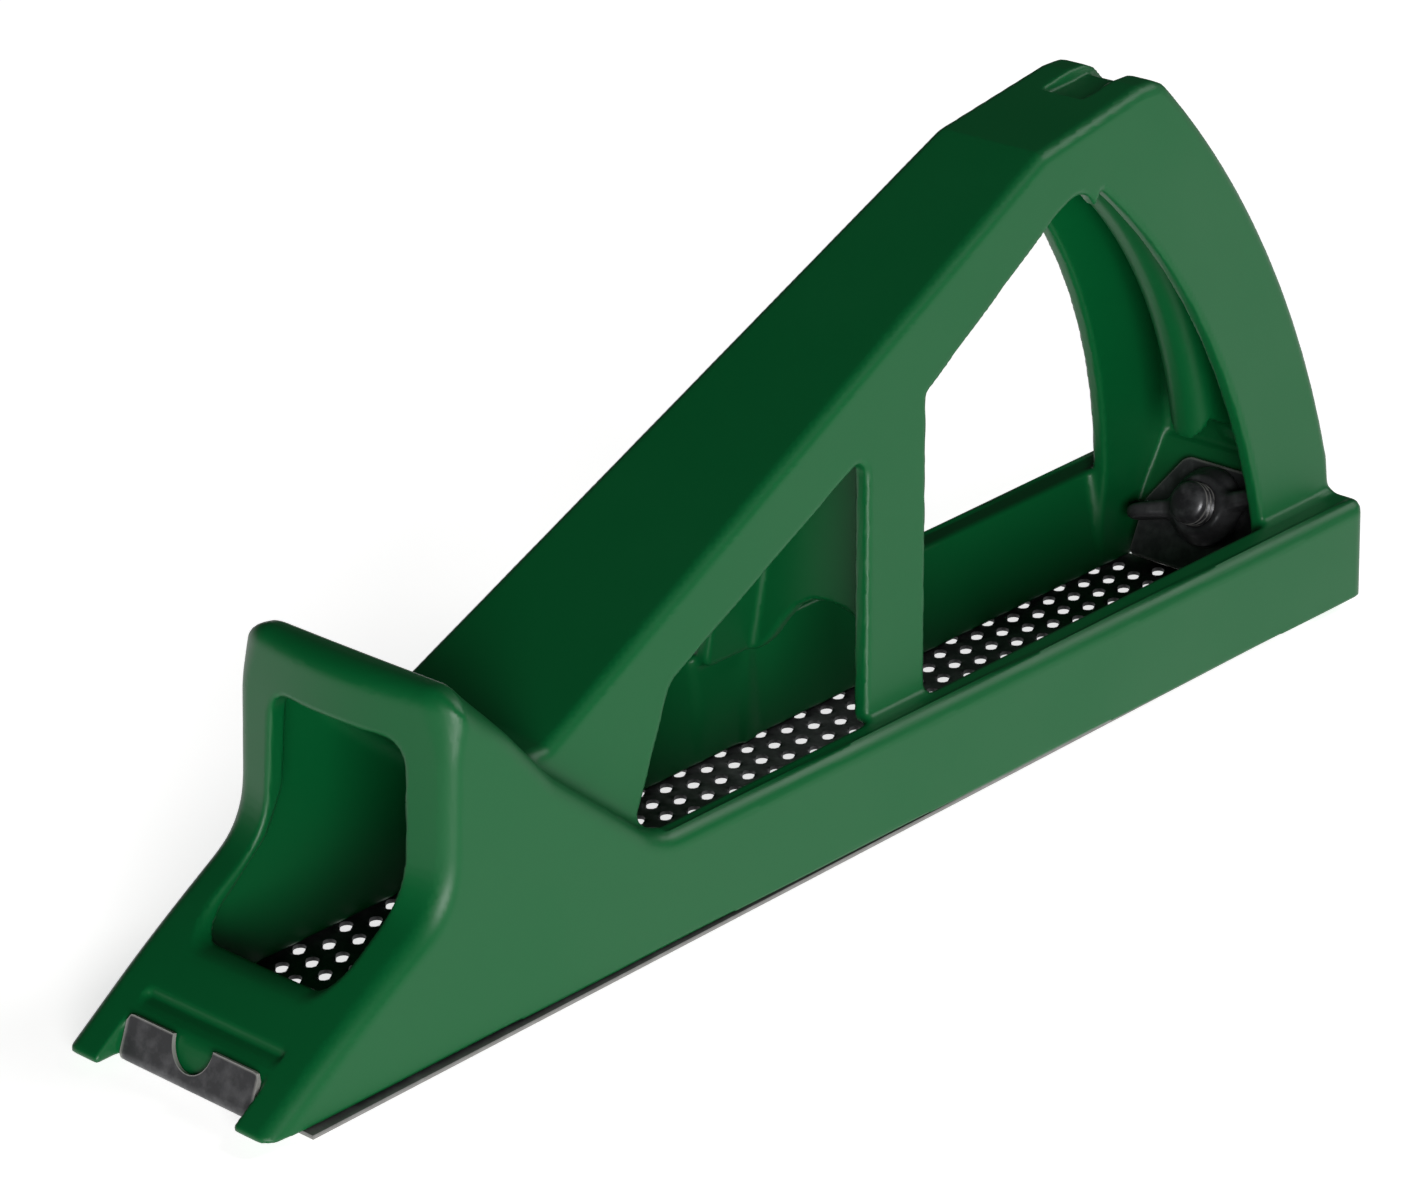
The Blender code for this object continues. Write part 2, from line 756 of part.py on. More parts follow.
def main():
    clear_scene()
    build_body(finish("green_polypropylene", (0.012, 0.117, 0.05), 0.45, 0.0))
    build_blade(finish("blackened_steel", (0.03, 0.03, 0.032), 0.5, 0.6))
    build_bolt(finish("black_oxide_bolt", (0.04, 0.04, 0.042), 0.4, 0.8))
    build_wing_nut(finish("cast_wing_nut", (0.03, 0.03, 0.031), 0.5, 0.5))
    build_tension_plate(finish("pressed_plate", (0.035, 0.034, 0.033), 0.5, 0.6))


main()
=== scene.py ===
"""The looks of a hand rasp plane: its green moulding, toothed blade and wing-nut tensioner, on a pale floor.

Sizes are in millimetres and are turned to metres when a mesh is made. -X is the nose, +X the heel, +Z is up, and
Z = 0 is the plane of the tooth tips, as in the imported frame.
"""

import logging
import math
from dataclasses import dataclass
from enum import Enum

import bpy
import numpy as np
from mathutils import Matrix, Vector
from mathutils.geometry import tessellate_polygon


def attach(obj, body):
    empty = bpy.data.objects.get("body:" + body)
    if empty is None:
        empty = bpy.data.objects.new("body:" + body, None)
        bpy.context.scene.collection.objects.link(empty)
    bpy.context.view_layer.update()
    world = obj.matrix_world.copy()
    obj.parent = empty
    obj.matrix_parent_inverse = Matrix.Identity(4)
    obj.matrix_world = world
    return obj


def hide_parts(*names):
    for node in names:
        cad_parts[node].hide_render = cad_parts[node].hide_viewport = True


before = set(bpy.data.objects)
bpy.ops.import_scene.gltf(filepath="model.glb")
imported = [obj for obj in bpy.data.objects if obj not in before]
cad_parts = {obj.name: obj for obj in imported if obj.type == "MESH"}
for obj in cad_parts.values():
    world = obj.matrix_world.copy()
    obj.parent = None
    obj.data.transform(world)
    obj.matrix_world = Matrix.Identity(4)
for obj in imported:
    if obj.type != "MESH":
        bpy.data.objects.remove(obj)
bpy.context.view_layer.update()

log = logging.getLogger("rasp_plane")

MM = 0.001
Array = np.ndarray
Outline = list[tuple[float, float]]


class Body(Enum):
    """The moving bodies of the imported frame."""

    MOULDING = "body"
    BLADE = "blade"
    CARRIAGE = "tension_carriage"
    NUT = "wing_nut"


# ---- outlines ----


def rounded(corners: list[tuple[float, float, float]], steps: int = 8) -> Outline:
    """An outline with each corner turned into an arc.

    Args:
        corners: (u, v, radius) in order round the outline.
        steps: straight pieces in each arc.

    Returns:
        The points of the outline.
    """
    points: Outline = []
    for index, (u, v, radius) in enumerate(corners):
        if not radius:
            points.append((u, v))
            continue
        before = corners[index - 1]
        after = corners[(index + 1) % len(corners)]
        a = math.atan2(before[1] - v, before[0] - u)
        b = math.atan2(after[1] - v, after[0] - u)
        half = (b - a) % (2 * math.pi) / 2
        if half > math.pi / 2:
            half -= math.pi
        reach = radius / abs(math.sin(half))
        cu = u + reach * math.cos(a + half)
        cv = v + reach * math.sin(a + half)
        leg = radius / math.tan(abs(half))
        start = math.atan2(v + math.sin(a) * leg - cv, u + math.cos(a) * leg - cu)
        sweep = math.copysign(math.pi - 2 * abs(half), -half)
        for step in range(steps + 1):
            angle = start + sweep * step / steps
            points.append((cu + radius * math.cos(angle), cv + radius * math.sin(angle)))
    return points


def bowed(start: tuple[float, float], end: tuple[float, float], bulge: float, steps: int = 24) -> Outline:
    """Points on the circle from start to end that stands bulge to the left of the chord.

    Args:
        start: the first point.
        end: the last point.
        bulge: the height of the arc over its chord.
        steps: straight pieces in the arc.

    Returns:
        The points, start and end among them.
    """
    du = end[0] - start[0]
    dv = end[1] - start[1]
    chord = math.hypot(du, dv)
    radius = (chord * chord / 4 + bulge * bulge) / (2 * bulge)
    cu = (start[0] + end[0]) / 2 + dv / chord * (radius - bulge)
    cv = (start[1] + end[1]) / 2 - du / chord * (radius - bulge)
    first = math.atan2(start[1] - cv, start[0] - cu)
    sweep = -2 * math.asin(chord / 2 / radius)
    angles = [first + sweep * step / steps for step in range(steps + 1)]
    return [(cu + radius * math.cos(angle), cv + radius * math.sin(angle)) for angle in angles]


# ---- carving a solid as a field of distances ----


def melt(a: Array, b: Array, radius: float | Array) -> Array:
    """Union of two distance fields with a fillet of this radius where they meet."""
    near = np.maximum(radius - a, 0) ** 2 + np.maximum(radius - b, 0) ** 2
    return np.maximum(radius, np.minimum(a, b)) - np.sqrt(near)


def both(a: Array, b: Array, radius: float | Array) -> Array:
    """What two distance fields share, with its edge rounded to this radius."""
    return -melt(-a, -b, radius)


def carve(a: Array, b: Array, radius: float | Array) -> Array:
    """The first field less the second, with the cut's edges rounded to this radius."""
    return both(a, -b, radius)


def ramp(value: Array, low: float, high: float) -> Array:
    """A smooth step from 0 at low to 1 at high."""
    t = np.clip((value - low) / (high - low), 0, 1)
    return t * t * (3 - 2 * t)


class Block:
    """A block of cells that a solid is carved from, as distances on a grid of points."""

    def __init__(self, low: tuple[float, float, float], high: tuple[float, float, float], cell: float) -> None:
        """Lays out the grid.

        Args:
            low: the block's lowest corner, in mm.
            high: its highest corner.
            cell: the grid's spacing.
        """
        self.low = np.array(low, float)
        self.cell = cell
        counts = [int(math.ceil((h - l) / cell)) + 1 for l, h in zip(low, high)]
        lines = [(l + cell * np.arange(n)).astype(np.float32) for l, n in zip(low, counts)]
        self.x = lines[0][:, None, None]
        self.y = lines[1][None, :, None]
        self.z = lines[2][None, None, :]

    def outline(self, points: Outline, u: Array, v: Array) -> Array:
        """Signed distance to an outline, less than nothing inside it.

        Args:
            points: the outline.
            u: the grid's first coordinate.
            v: its second coordinate.

        Returns:
            The distances, in the shape that u and v spread to.
        """
        u, v = np.broadcast_arrays(u, v)
        nearest = np.full(u.shape, np.inf, np.float32)
        inside = np.zeros(u.shape, bool)
        for (u0, v0), (u1, v1) in zip(points, points[1:] + points[:1]):
            du, dv = u1 - u0, v1 - v0
            length = du * du + dv * dv
            if not length:
                continue
            t = np.clip(((u - u0) * du + (v - v0) * dv) / length, 0, 1)
            nearest = np.minimum(nearest, (u - u0 - t * du) ** 2 + (v - v0 - t * dv) ** 2)
            if dv:
                crosses = ((v0 > v) != (v1 > v)) & (u < u0 + (v - v0) * du / dv)
                inside ^= crosses
        return np.where(inside, np.float32(-1), np.float32(1)) * np.sqrt(nearest)

    def side(self, points: Outline) -> Array:
        """Distance to an outline seen from the side, in x and z."""
        return self.outline(points, self.x, self.z)

    def front(self, points: Outline) -> Array:
        """Distance to an outline seen from the front, in y and z."""
        return self.outline(points, self.y, self.z)

    def slid(self, flat: Array, slide: Array) -> Array:
        """A side-view field slid along x by an amount that changes from place to place.

        Args:
            flat: distances in x and z, with one y.
            slide: how far each point's outline moves to +x, in mm.

        Returns:
            The field over the whole block.
        """
        place = (self.x - slide - self.low[0]) / self.cell
        last = flat.shape[0] - 2
        index = np.clip(np.floor(place).astype(int), 0, last)
        share = np.clip(place - index, 0, 1)
        rows = np.arange(flat.shape[2])[None, None, :]
        sheet = flat[:, 0, :]
        return sheet[index, rows] * (1 - share) + sheet[index + 1, rows] * share

    def skin(self, field: Array) -> tuple[Array, Array, Array]:
        """The surface where the field is nothing, by surface nets.

        Args:
            field: the distances, over the whole block.

        Returns:
            The vertices in mm, the quads that join them, and the vertices' outward normals.
        """
        whole = (self.x.size, self.y.size, self.z.size)
        field = np.ascontiguousarray(np.broadcast_to(field, whole), np.float32)
        solid = field < 0
        shape = tuple(n - 1 for n in field.shape)
        ends = [(dx, dy, dz) for dx in (0, 1) for dy in (0, 1) for dz in (0, 1)]
        filled = np.zeros(shape, np.int8)
        for start in ends:
            filled += solid[tuple(slice(o, o + n) for o, n in zip(start, shape))]
        held = (filled > 0) & (filled < len(ends))
        cells = np.argwhere(held)
        number = np.full(shape, -1, np.int32)
        number[held] = np.arange(len(cells))
        corner = {e: field[tuple((cells + e).T)] for e in ends}
        total = np.zeros((len(cells), 3))
        count = np.zeros(len(cells))
        for start in ends:
            for axis in range(3):
                if start[axis]:
                    continue
                stop = tuple(1 if k == axis else o for k, o in enumerate(start))
                a, b = corner[start], corner[stop]
                crossed = (a < 0) != (b < 0)
                share = np.where(crossed, a / np.where(a == b, 1, a - b), 0)
                for k in range(3):
                    total[:, k] += crossed * (start[k] + (share if k == axis else 0))
                count += crossed
        share = total / count[:, None]
        points = self.low + self.cell * (cells + share)
        quads = []
        for axis in range(3):
            a, b = (k for k in range(3) if k != axis)
            inner = tuple(slice(0, n) if k == axis else slice(1, n) for k, n in enumerate(shape))
            ahead = tuple(slice(1, n + 1) if k == axis else slice(1, n) for k, n in enumerate(shape))
            turned_on = solid[inner] != solid[ahead]
            spots = np.argwhere(turned_on)
            spots[:, [a, b]] += 1
            corners = []
            for step_a, step_b in ((1, 1), (0, 1), (0, 0), (1, 0)):
                cell = spots.copy()
                cell[:, a] -= step_a
                cell[:, b] -= step_b
                corners.append(number[tuple(cell.T)])
            quad = np.stack(corners, axis=1)
            outward = solid[inner][turned_on]
            if axis == 1:
                outward = ~outward
            quad[~outward] = quad[~outward][:, ::-1]
            quads.append(quad)
        normals = np.zeros_like(points)
        for k in range(3):
            for start in ends:
                if start[k]:
                    continue
                stop = tuple(1 if m == k else o for m, o in enumerate(start))
                weight = np.ones(len(points))
                for m, o in enumerate(start):
                    if m != k:
                        weight *= share[:, m] if o else 1 - share[:, m]
                normals[:, k] += weight * (corner[stop] - corner[start])
        normals /= np.maximum(np.linalg.norm(normals, axis=1), 1e-9)[:, None]
        return points, np.concatenate(quads), normals


def mesh_of(name: str, points: Array, faces: Array, normals: Array | None = None) -> bpy.types.Object:
    """A smooth-shaded object in the scene.

    Args:
        name: the object's name.
        points: its vertices, in mm.
        faces: quads as rows of four vertex numbers.
        normals: a normal for each vertex, if they are known.

    Returns:
        The new object.
    """
    mesh = bpy.data.meshes.new(name)
    mesh.from_pydata((points * MM).tolist(), [], faces.tolist() if isinstance(faces, np.ndarray) else faces)
    mesh.update()
    mesh.shade_smooth()
    if normals is not None:
        mesh.normals_split_custom_set_from_vertices(normals.tolist())
    obj = bpy.data.objects.new(name, mesh)
    bpy.context.scene.collection.objects.link(obj)
    return obj


def stand_in(obj: bpy.types.Object, node: str, body: Body, material: bpy.types.Material) -> None:
    """Dresses a piece, lets it ride on its body and shows it instead of its CAD node."""
    obj.data.materials.append(material)
    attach(obj, body.value)
    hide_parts(node)
    log.info("%s: %d vertices", obj.name, len(obj.data.vertices))


# ---- finishes ----


def linear(colour: str) -> tuple[float, float, float, float]:
    """The linear colour of an sRGB hex value such as 1f7a4d."""
    parts = [int(colour[k:k + 2], 16) / 255 for k in (0, 2, 4)]
    return (*(p / 12.92 if p <= 0.04045 else ((p + 0.055) / 1.055) ** 2.4 for p in parts), 1.0)


class NodeKind(Enum):
    """The shader nodes that the finishes use."""

    COORDINATES = "ShaderNodeTexCoord"
    NOISE = "ShaderNodeTexNoise"
    RANGE = "ShaderNodeMapRange"
    MIX = "ShaderNodeMix"
    BUMP = "ShaderNodeBump"
    ATTRIBUTE = "ShaderNodeAttribute"


MIX_A = 6  # a colour mix node's first colour input
MIX_B = 7  # its second colour input
MIX_COLOUR = 2  # its colour output


def add_node(
    tree: bpy.types.NodeTree,
    kind: NodeKind,
    settings: dict[str, object] | None = None,
    values: dict[str | int, object] | None = None,
    links: dict[str | int, bpy.types.NodeSocket] | None = None,
) -> bpy.types.Node:
    """Adds a node with its settings, its socket values and its links.

    Args:
        tree: the material's node tree.
        kind: which node.
        settings: attributes of the node itself.
        values: values of its input sockets.
        links: output sockets that feed its input sockets.

    Returns:
        The new node.
    """
    node = tree.nodes.new(kind.value)
    for name, value in (settings or {}).items():
        setattr(node, name, value)
    for key, value in (values or {}).items():
        node.inputs[key].default_value = value
    for key, socket in (links or {}).items():
        tree.links.new(socket, node.inputs[key])
    return node


def blank(name: str) -> tuple[bpy.types.Material, bpy.types.NodeTree, bpy.types.Node]:
    """A new node material, its tree and its Principled shader."""
    material = bpy.data.materials.new(name)
    material.use_nodes = True
    tree = material.node_tree
    return material, tree, tree.nodes["Principled BSDF"]


@dataclass(frozen=True)
class MouldedPolypropylene:
    """Green glass-filled polypropylene from a spark-eroded mould: a satin skin with a very fine grain."""

    colour: str = "004a22"
    worn: str = "01522b"
    roughness: float = 0.4
    ior: float = 1.49
    gloss: float = 0.28  # specular level; the fine grain spreads most of the shine
    grain_depth: float = 0.00004  # metres
    grain_mm: float = 0.35  # the spark-eroded texture; the real one is about a quarter of this
    cloud_mm: float = 38.0  # slow drift of colour where the melt has flowed

    def material(self) -> bpy.types.Material:
        """The finish as a node material."""
        material, tree, shader = blank("moulded_green_polypropylene")
        place = add_node(tree, NodeKind.COORDINATES).outputs["Object"]
        cloud = add_node(tree, NodeKind.NOISE, values={"Scale": 1 / (self.cloud_mm * MM), "Detail": 3.0},
                         links={"Vector": place})
        tint = add_node(tree, NodeKind.RANGE, values={"To Min": 0.0, "To Max": 0.22}, links={0: cloud.outputs[0]})
        mix = add_node(tree, NodeKind.MIX, {"data_type": "RGBA"},
                       {MIX_A: linear(self.colour), MIX_B: linear(self.worn)}, {0: tint.outputs[0]})
        tree.links.new(mix.outputs[MIX_COLOUR], shader.inputs["Base Color"])
        grain = add_node(tree, NodeKind.NOISE, values={"Scale": 1 / (self.grain_mm * MM), "Detail": 2.0},
                         links={"Vector": place})
        sheen = add_node(tree, NodeKind.RANGE,
                         values={"From Min": 0.3, "From Max": 0.7, "To Min": self.roughness - 0.05,
                                 "To Max": self.roughness + 0.08},
                         links={0: cloud.outputs[0]})
        tree.links.new(sheen.outputs[0], shader.inputs["Roughness"])
        bump = add_node(tree, NodeKind.BUMP, values={"Strength": 0.12, "Distance": self.grain_depth},
                        links={"Height": grain.outputs[0]})
        tree.links.new(bump.outputs[0], shader.inputs["Normal"])
        shader.inputs["IOR"].default_value = self.ior
        shader.inputs["Specular IOR Level"].default_value = self.gloss
        return material


@dataclass(frozen=True)
class BlackenedSteel:
    """Hardened steel strip, blackened in hot oil: a dark skin, with a pale colour laid on proud edges that is partly
    rubbed-bright wear and partly a painted edge highlight.
    """

    name: str
    colour: str = "353537"
    # pale edge colour: partly rubbed-bright wear, partly a painted highlight along proud edges
    scuffed: str = "565658"
    rubbed_and_highlight: str = "c4c2bd"
    roughness: float = 0.42
    metallic: float = 0.45  # the oil-black skin hides part of the metal
    grit_depth: float = 0.00005  # metres
    scuff_mm: float = 3.5  # size of the handled patches
    grit_mm: float = 0.6  # fine tooth of the surface, drawn coarser than the real one so that it shows

    def material(self) -> bpy.types.Material:
        """The finish as a node material. The mesh attribute worn says where the pale edge colour goes: partly rub
        wear, partly a painted edge highlight.
        """
        material, tree, shader = blank(self.name)
        place = add_node(tree, NodeKind.COORDINATES).outputs["Object"]
        scuff = add_node(tree, NodeKind.NOISE, values={"Scale": 1 / (self.scuff_mm * MM), "Detail": 5.0,
                                                       "Roughness": 0.6}, links={"Vector": place})
        patch = add_node(tree, NodeKind.RANGE, values={"From Min": 0.45, "From Max": 0.75},
                         links={0: scuff.outputs[0]})
        skin = add_node(tree, NodeKind.MIX, {"data_type": "RGBA"},
                        {MIX_A: linear(self.colour), MIX_B: linear(self.scuffed)}, {0: patch.outputs[0]})
        # the worn attribute lays the pale colour on edges, both as rub wear and as a painted edge highlight
        worn = add_node(tree, NodeKind.ATTRIBUTE, {"attribute_name": "worn"})
        shade = add_node(tree, NodeKind.MIX, {"data_type": "RGBA"}, {MIX_B: linear(self.rubbed_and_highlight)},
                         {0: worn.outputs["Fac"], MIX_A: skin.outputs[MIX_COLOUR]})
        tree.links.new(shade.outputs[MIX_COLOUR], shader.inputs["Base Color"])
        rough = add_node(tree, NodeKind.RANGE, values={"To Min": self.roughness, "To Max": self.roughness - 0.12},
                         links={0: patch.outputs[0]})
        tree.links.new(rough.outputs[0], shader.inputs["Roughness"])
        grit = add_node(tree, NodeKind.NOISE, values={"Scale": 1 / (self.grit_mm * MM), "Detail": 2.0},
                        links={"Vector": place})
        bump = add_node(tree, NodeKind.BUMP, values={"Strength": 0.15, "Distance": self.grit_depth},
                        links={"Height": grit.outputs[0]})
        tree.links.new(bump.outputs[0], shader.inputs["Normal"])
        shader.inputs["Metallic"].default_value = self.metallic
        return material


def mark_rub_and_highlight(obj: bpy.types.Object, worn: Array) -> None:
    """Stores, from 0 to 1, how much of the steel finishes' pale edge colour each vertex takes: partly rub wear,
    partly a painted edge highlight.
    """
    attribute = obj.data.attributes.new("worn", "FLOAT", "POINT")
    attribute.data.foreach_set("value", worn.astype(np.float32))


# ---- shared layout ----


@dataclass(frozen=True)
class Layout:
    """The sizes that more than one piece uses."""

    nose: float = -131.35
    heel: float = 131.35
    height: float = 106.0
    sole: float = 1.2  # the flat of the blade's underside, over the tooth tips
    sheet: float = 0.7
    underside: float = 2.2  # the moulding's underside
    rim: float = 21.0
    lip_height: float = 7.5
    lip_lean: float = 0.41
    front_bend: float = -127.45
    rear_bend: float = 122.55
    bolt_tilt: float = math.radians(27.0)
    bolt_x: float = 113.8566
    bolt_z: float = 18.4595
    bolt_r: float = 4.0
    nut_start: float = 2.6
    nut_length: float = 4.5
    wing_turn: float = math.radians(-20.0)
    wing_reach: float = 15.3

    def along_bolt(self, s: float, t: float) -> tuple[float, float]:
        """The (x, z) of a point s down the bolt and t square to it, up."""
        x = self.bolt_x + s * math.cos(self.bolt_tilt) + t * math.sin(self.bolt_tilt)
        return x, self.bolt_z - s * math.sin(self.bolt_tilt) + t * math.cos(self.bolt_tilt)

    def bolt_matrix(self) -> Array:
        """Columns that turn (s, y, t) about the bolt into (x, y, z)."""
        c, s = math.cos(self.bolt_tilt), math.sin(self.bolt_tilt)
        return np.array([[c, 0, s], [0, 1, 0], [-s, 0, c]])

    def onto_bolt(self, points: Array) -> Array:
        """Points in (s, y, t) placed in (x, y, z)."""
        return points @ self.bolt_matrix().T + np.array([self.bolt_x, 0, self.bolt_z])


# ---- the moulding ----


@dataclass
class Moulding:
    """The one-piece body: base tray, horn, bar, strut, bow and heel."""

    lay: Layout
    cell: float = 0.7
    half_width: float = 25.3
    flare: float = 0.015
    draft: float = 0.0957
    wall: float = 3.2
    handle_half: float = 19.5
    throat_half: float = 20.0
    throat_draft: float = 0.181
    throat_front: float = -49.45
    horn_height: float = 59.9
    horn_bow: float = 4.5  # how far the horn's front stands forward in the middle
    bow_half: float = 24.0
    tray_top: float = 19.0
    tray_end: float = 96.0  # behind this the handle's slab keeps clear of the whole tray
    bar_depth: float = 12.8
    strut_x: float = 4.7
    strut_lean: float = 0.145
    strut_depth: float = 14.6
    strut_rise: float = 34.0  # above the rim, about where the strut meets the bar
    arch_top: float = 31.5
    spine_half: float = 4.7
    slot_half: float = 4.25
    recess_half: float = 15.4
    edge: float = 2.0  # rounding of the handle's long edges
    window_edge: float = 0.9

    def __post_init__(self) -> None:
        """Works out the points that several features share."""
        nose, heel = self.lay.nose, self.lay.heel
        self.block = Block((nose - 3, -29, -1), (heel + 3, 29, self.lay.height + 3), self.cell)
        self.across = np.abs(self.block.y)
        self.crease = (heel - 71.9, self.lay.height - 4.7)
        self.valley = (nose + 66.0, 40.9)
        self.slope = (self.crease[1] - self.valley[1]) / (self.crease[0] - self.valley[0])
        self.crown = heel - 39.7
        self.spring = heel - 21.0
        self.strut_head = self.strut_edge(self.lay.rim + self.strut_rise)

    def bar_low(self, x: float) -> float:
        """The height of the bar's lower edge at x."""
        return self.valley[1] + self.slope * (x - self.valley[0]) - self.bar_depth

    def handle_side(self, inset: float = 0.0) -> Array:
        """Distance to the handle's two drafted sides, this far inside them."""
        half = self.handle_half - self.draft * (self.block.z - self.lay.rim) - inset
        return (self.across - half) * math.cos(math.atan(self.draft))

    def base_side(self, inset: float = 0.0) -> Array:
        """Distance to the base's two upright sides, this far inside them."""
        return self.across - (self.half_width + self.flare * self.block.x - inset)

    def bow_back(self) -> Array:
        """How far the horn's front face curves back at each y, from nothing at the nose slope."""
        return self.horn_bow * (self.block.y / self.bow_half) ** 2 * ramp(self.block.z, 10, 36)

    def rear_curve(self, inset: float) -> Outline:
        """The rear face of the bow, this far inside its skin."""
        start = (self.crown + 1.2 - inset * 0.9, self.lay.height - 1.2 - inset)
        return bowed(start, (self.lay.heel - 0.35 - inset, 27.0), 6.5)

    def tub(self) -> Array:
        """The base and the horn, with the horn's front face bowed forward in the middle."""
        nose, heel, rim = self.lay.nose, self.lay.heel, self.lay.rim
        outline = rounded([
            (nose, -6, 0),
            (nose, 3.2, 1.0),
            (nose + 34.75, 27.0, 14),
            (nose + 38.9, self.horn_height + 0.3, 3.5),
            (nose + 44.9, self.horn_height - 0.4, 1.5),
            (nose + 61.4, 39.5, 12),
            (self.throat_front + 1.0, rim, 12),
            (heel, rim, 2.5),
            (heel, -6, 0),
        ])
        block = self.block
        bow = self.bow_back()
        flat = block.side(outline)
        bowed_front = block.slid(flat, bow * (1 - ramp(block.x, nose + 34, nose + 47)))
        round_edge = 3.2 + 3.6 * ramp(block.z, 48, 60) * (1 - ramp(block.x, -60, -50))
        return both(bowed_front, self.base_side(), round_edge)

    def throat(self) -> Array:
        """The open tray over the blade, under the handle."""
        front, heel, rim = self.throat_front, self.lay.heel, self.lay.rim
        outline = [(front + 3.0, -6), (front, rim), (front, rim + 30), (heel - self.wall, rim + 30),
                   (heel - self.wall, -6)]
        side = self.across - (self.throat_half + self.throat_draft * (self.block.z - rim))
        return both(self.block.side(outline), side, 3.0)

    def ledge(self) -> Array:
        """The step along the rim: the ledge inside the outer bead lies a little lower."""
        block, rim = self.block, self.lay.rim
        low = np.maximum(rim - 0.55 - block.z, self.base_side(2.4))
        return np.maximum(low, self.throat_front + 4 - block.x)

    def handle(self) -> Array:
        """The bar, the strut and the bow with their windows and hollows."""
        nose, heel, height = self.lay.nose, self.lay.heel, self.lay.height
        block = self.block
        outline = [(nose + 62, 25), (nose + 59.7, self.valley[1] + 0.4), self.valley, self.crease]
        outline += [(self.crown - 5.5, height), (self.crown - 1.5, height)]
        outline += self.rear_curve(0)
        outline += [(heel - 0.35, -6), (self.throat_front - self.wall, -6)]
        slab = both(block.side(outline), self.handle_side(), self.edge)
        for window in (self.front_window(), self.rear_window()):
            slab = carve(slab, block.side(window), self.window_edge)
        tray = both(self.throat(), np.maximum(block.z - self.tray_top, block.x - self.tray_end), 1.5)
        slab = carve(slab, tray, 2.2)
        inner = self.handle_side(self.wall)
        hollows = ((self.bar_channel(), 1.2), (self.strut_channel(), 1.2), (self.bow_channel(), 1.6))
        for hollow, radius in hollows:
            slab = carve(slab, both(block.side(hollow), inner, radius), 0.8)
        return carve(slab, self.arch(), 0.8)

    def front_window(self) -> Outline:
        """The opening between the horn, the bar and the strut."""
        front, rim = self.throat_front, self.lay.rim
        foot = front + 11.4
        high = self.bar_low(self.strut_head)
        return rounded([
            (front + 2.4, -8, 0),
            (front, rim, 4),
            (foot, self.bar_low(foot) + 0.6, 5),
            (self.strut_edge(high), high, 2.0),
            (self.strut_edge(-8), -8, 0),
        ])

    def strut_edge(self, z: float) -> float:
        """The x of the strut's front edge at height z."""
        return self.strut_x + self.strut_lean * (z - self.lay.rim)

    def rear_window(self) -> Outline:
        """The hand's opening between the strut, the bar and the bow."""
        heel, height, depth = self.lay.heel, self.lay.height, self.strut_depth
        high = self.bar_low(self.strut_head + depth) - 1.6
        left = self.strut_edge(high) + depth
        apex = heel - 64.5
        corners = rounded([
            (left, high, 0),
            (apex - 4.5, self.bar_low(apex - 4.5) + 0.4, 2),
            (apex + 3.5, height - 12.6, 5),
            (self.spring, 0, 0),
        ])[1:-1]
        outline = [(self.spring, -8), (self.strut_edge(-8) + depth, -8), (left, high)] + corners
        return outline + bowed((heel - 57.4, height - 14.6), (self.spring, self.lay.rim), 7.3)

    def bar_channel(self) -> Outline:
        """The hollow under the bar, open below."""
        start, end = self.throat_front + 15, self.crease[0] + 2
        top = self.bar_depth - self.wall - 0.3
        return [(start, self.bar_low(start) - 3), (end, self.bar_low(end) - 3),
                (end, self.bar_low(self.crease[0]) + top), (self.crease[0], self.bar_low(self.crease[0]) + top),
                (start, self.bar_low(start) + top)]

    def strut_channel(self) -> Outline:
        """The hollow of the strut, open to the front."""
        top = self.bar_low(self.strut_head)
        rear = self.strut_depth - self.wall
        edge = self.strut_edge
        return [(edge(-8) - 5, -8), (edge(-8) + rear, -8), (edge(top) + rear, top), (edge(top) - 5, top - 2.5)]

    def arch(self) -> Array:
        """The arched gap under the strut's web."""
        top, side = self.arch_top, 16.6
        right = [(side, -8), (side, 17.5), (13.0, top - 10.0), (10.4, top - 6.2)]
        right += [(7.6, top - 2.7), (4.0, top - 0.6)]
        outline = right + [(0, top)] + [(-y, z) for y, z in reversed(right)]
        rear = self.strut_x + self.strut_depth
        return np.maximum(self.block.front(outline), np.abs(self.block.x - rear) - self.wall - 4)

    def bow_channel(self) -> Outline:
        """The hollow of the bow, open to the front and down into the tray."""
        heel, height = self.lay.heel, self.lay.height
        outline = [(self.crease[0] + 0.5, self.crease[1] - self.wall - 0.6)]
        outline += [(self.crown - 6.5, height - self.wall)]
        outline += self.rear_curve(self.wall)
        outline += [(heel - self.wall - 0.35, -8), (self.spring - 10, -8), (self.spring - 10, 40),
                    (heel - 60, height - 26), (self.crease[0] + 0.5, height - 22)]
        return outline

    def spine(self) -> Array:
        """The rounded rib down the middle of the bow's hollow, hollowed out at its foot for the nut."""
        heel, height = self.lay.heel, self.lay.height
        outline = bowed((heel - 47.5, height - 20), (heel - 18.4, 26.0), 6.5)
        outline += [(heel - 2, 26.0)] + self.rear_curve(1.5)[::-1][1:]
        rib = both(self.block.side(outline), self.across - self.spine_half, 4.2)
        return carve(rib, self.turned(-6.6, 8.5, self.lay.wing_reach + 0.6), 0.8)

    def turned(self, start: float, end: float, radius: float) -> Array:
        """Distance to a cylinder on the bolt's axis, from start to end down it."""
        c, s = math.cos(self.lay.bolt_tilt), math.sin(self.lay.bolt_tilt)
        dx, dz = self.block.x - self.lay.bolt_x, self.block.z - self.lay.bolt_z
        along, up = dx * c - dz * s, dx * s + dz * c
        reach = np.abs(along - (start + end) / 2) - (end - start) / 2
        return np.maximum(np.hypot(self.block.y, up) - radius, reach)

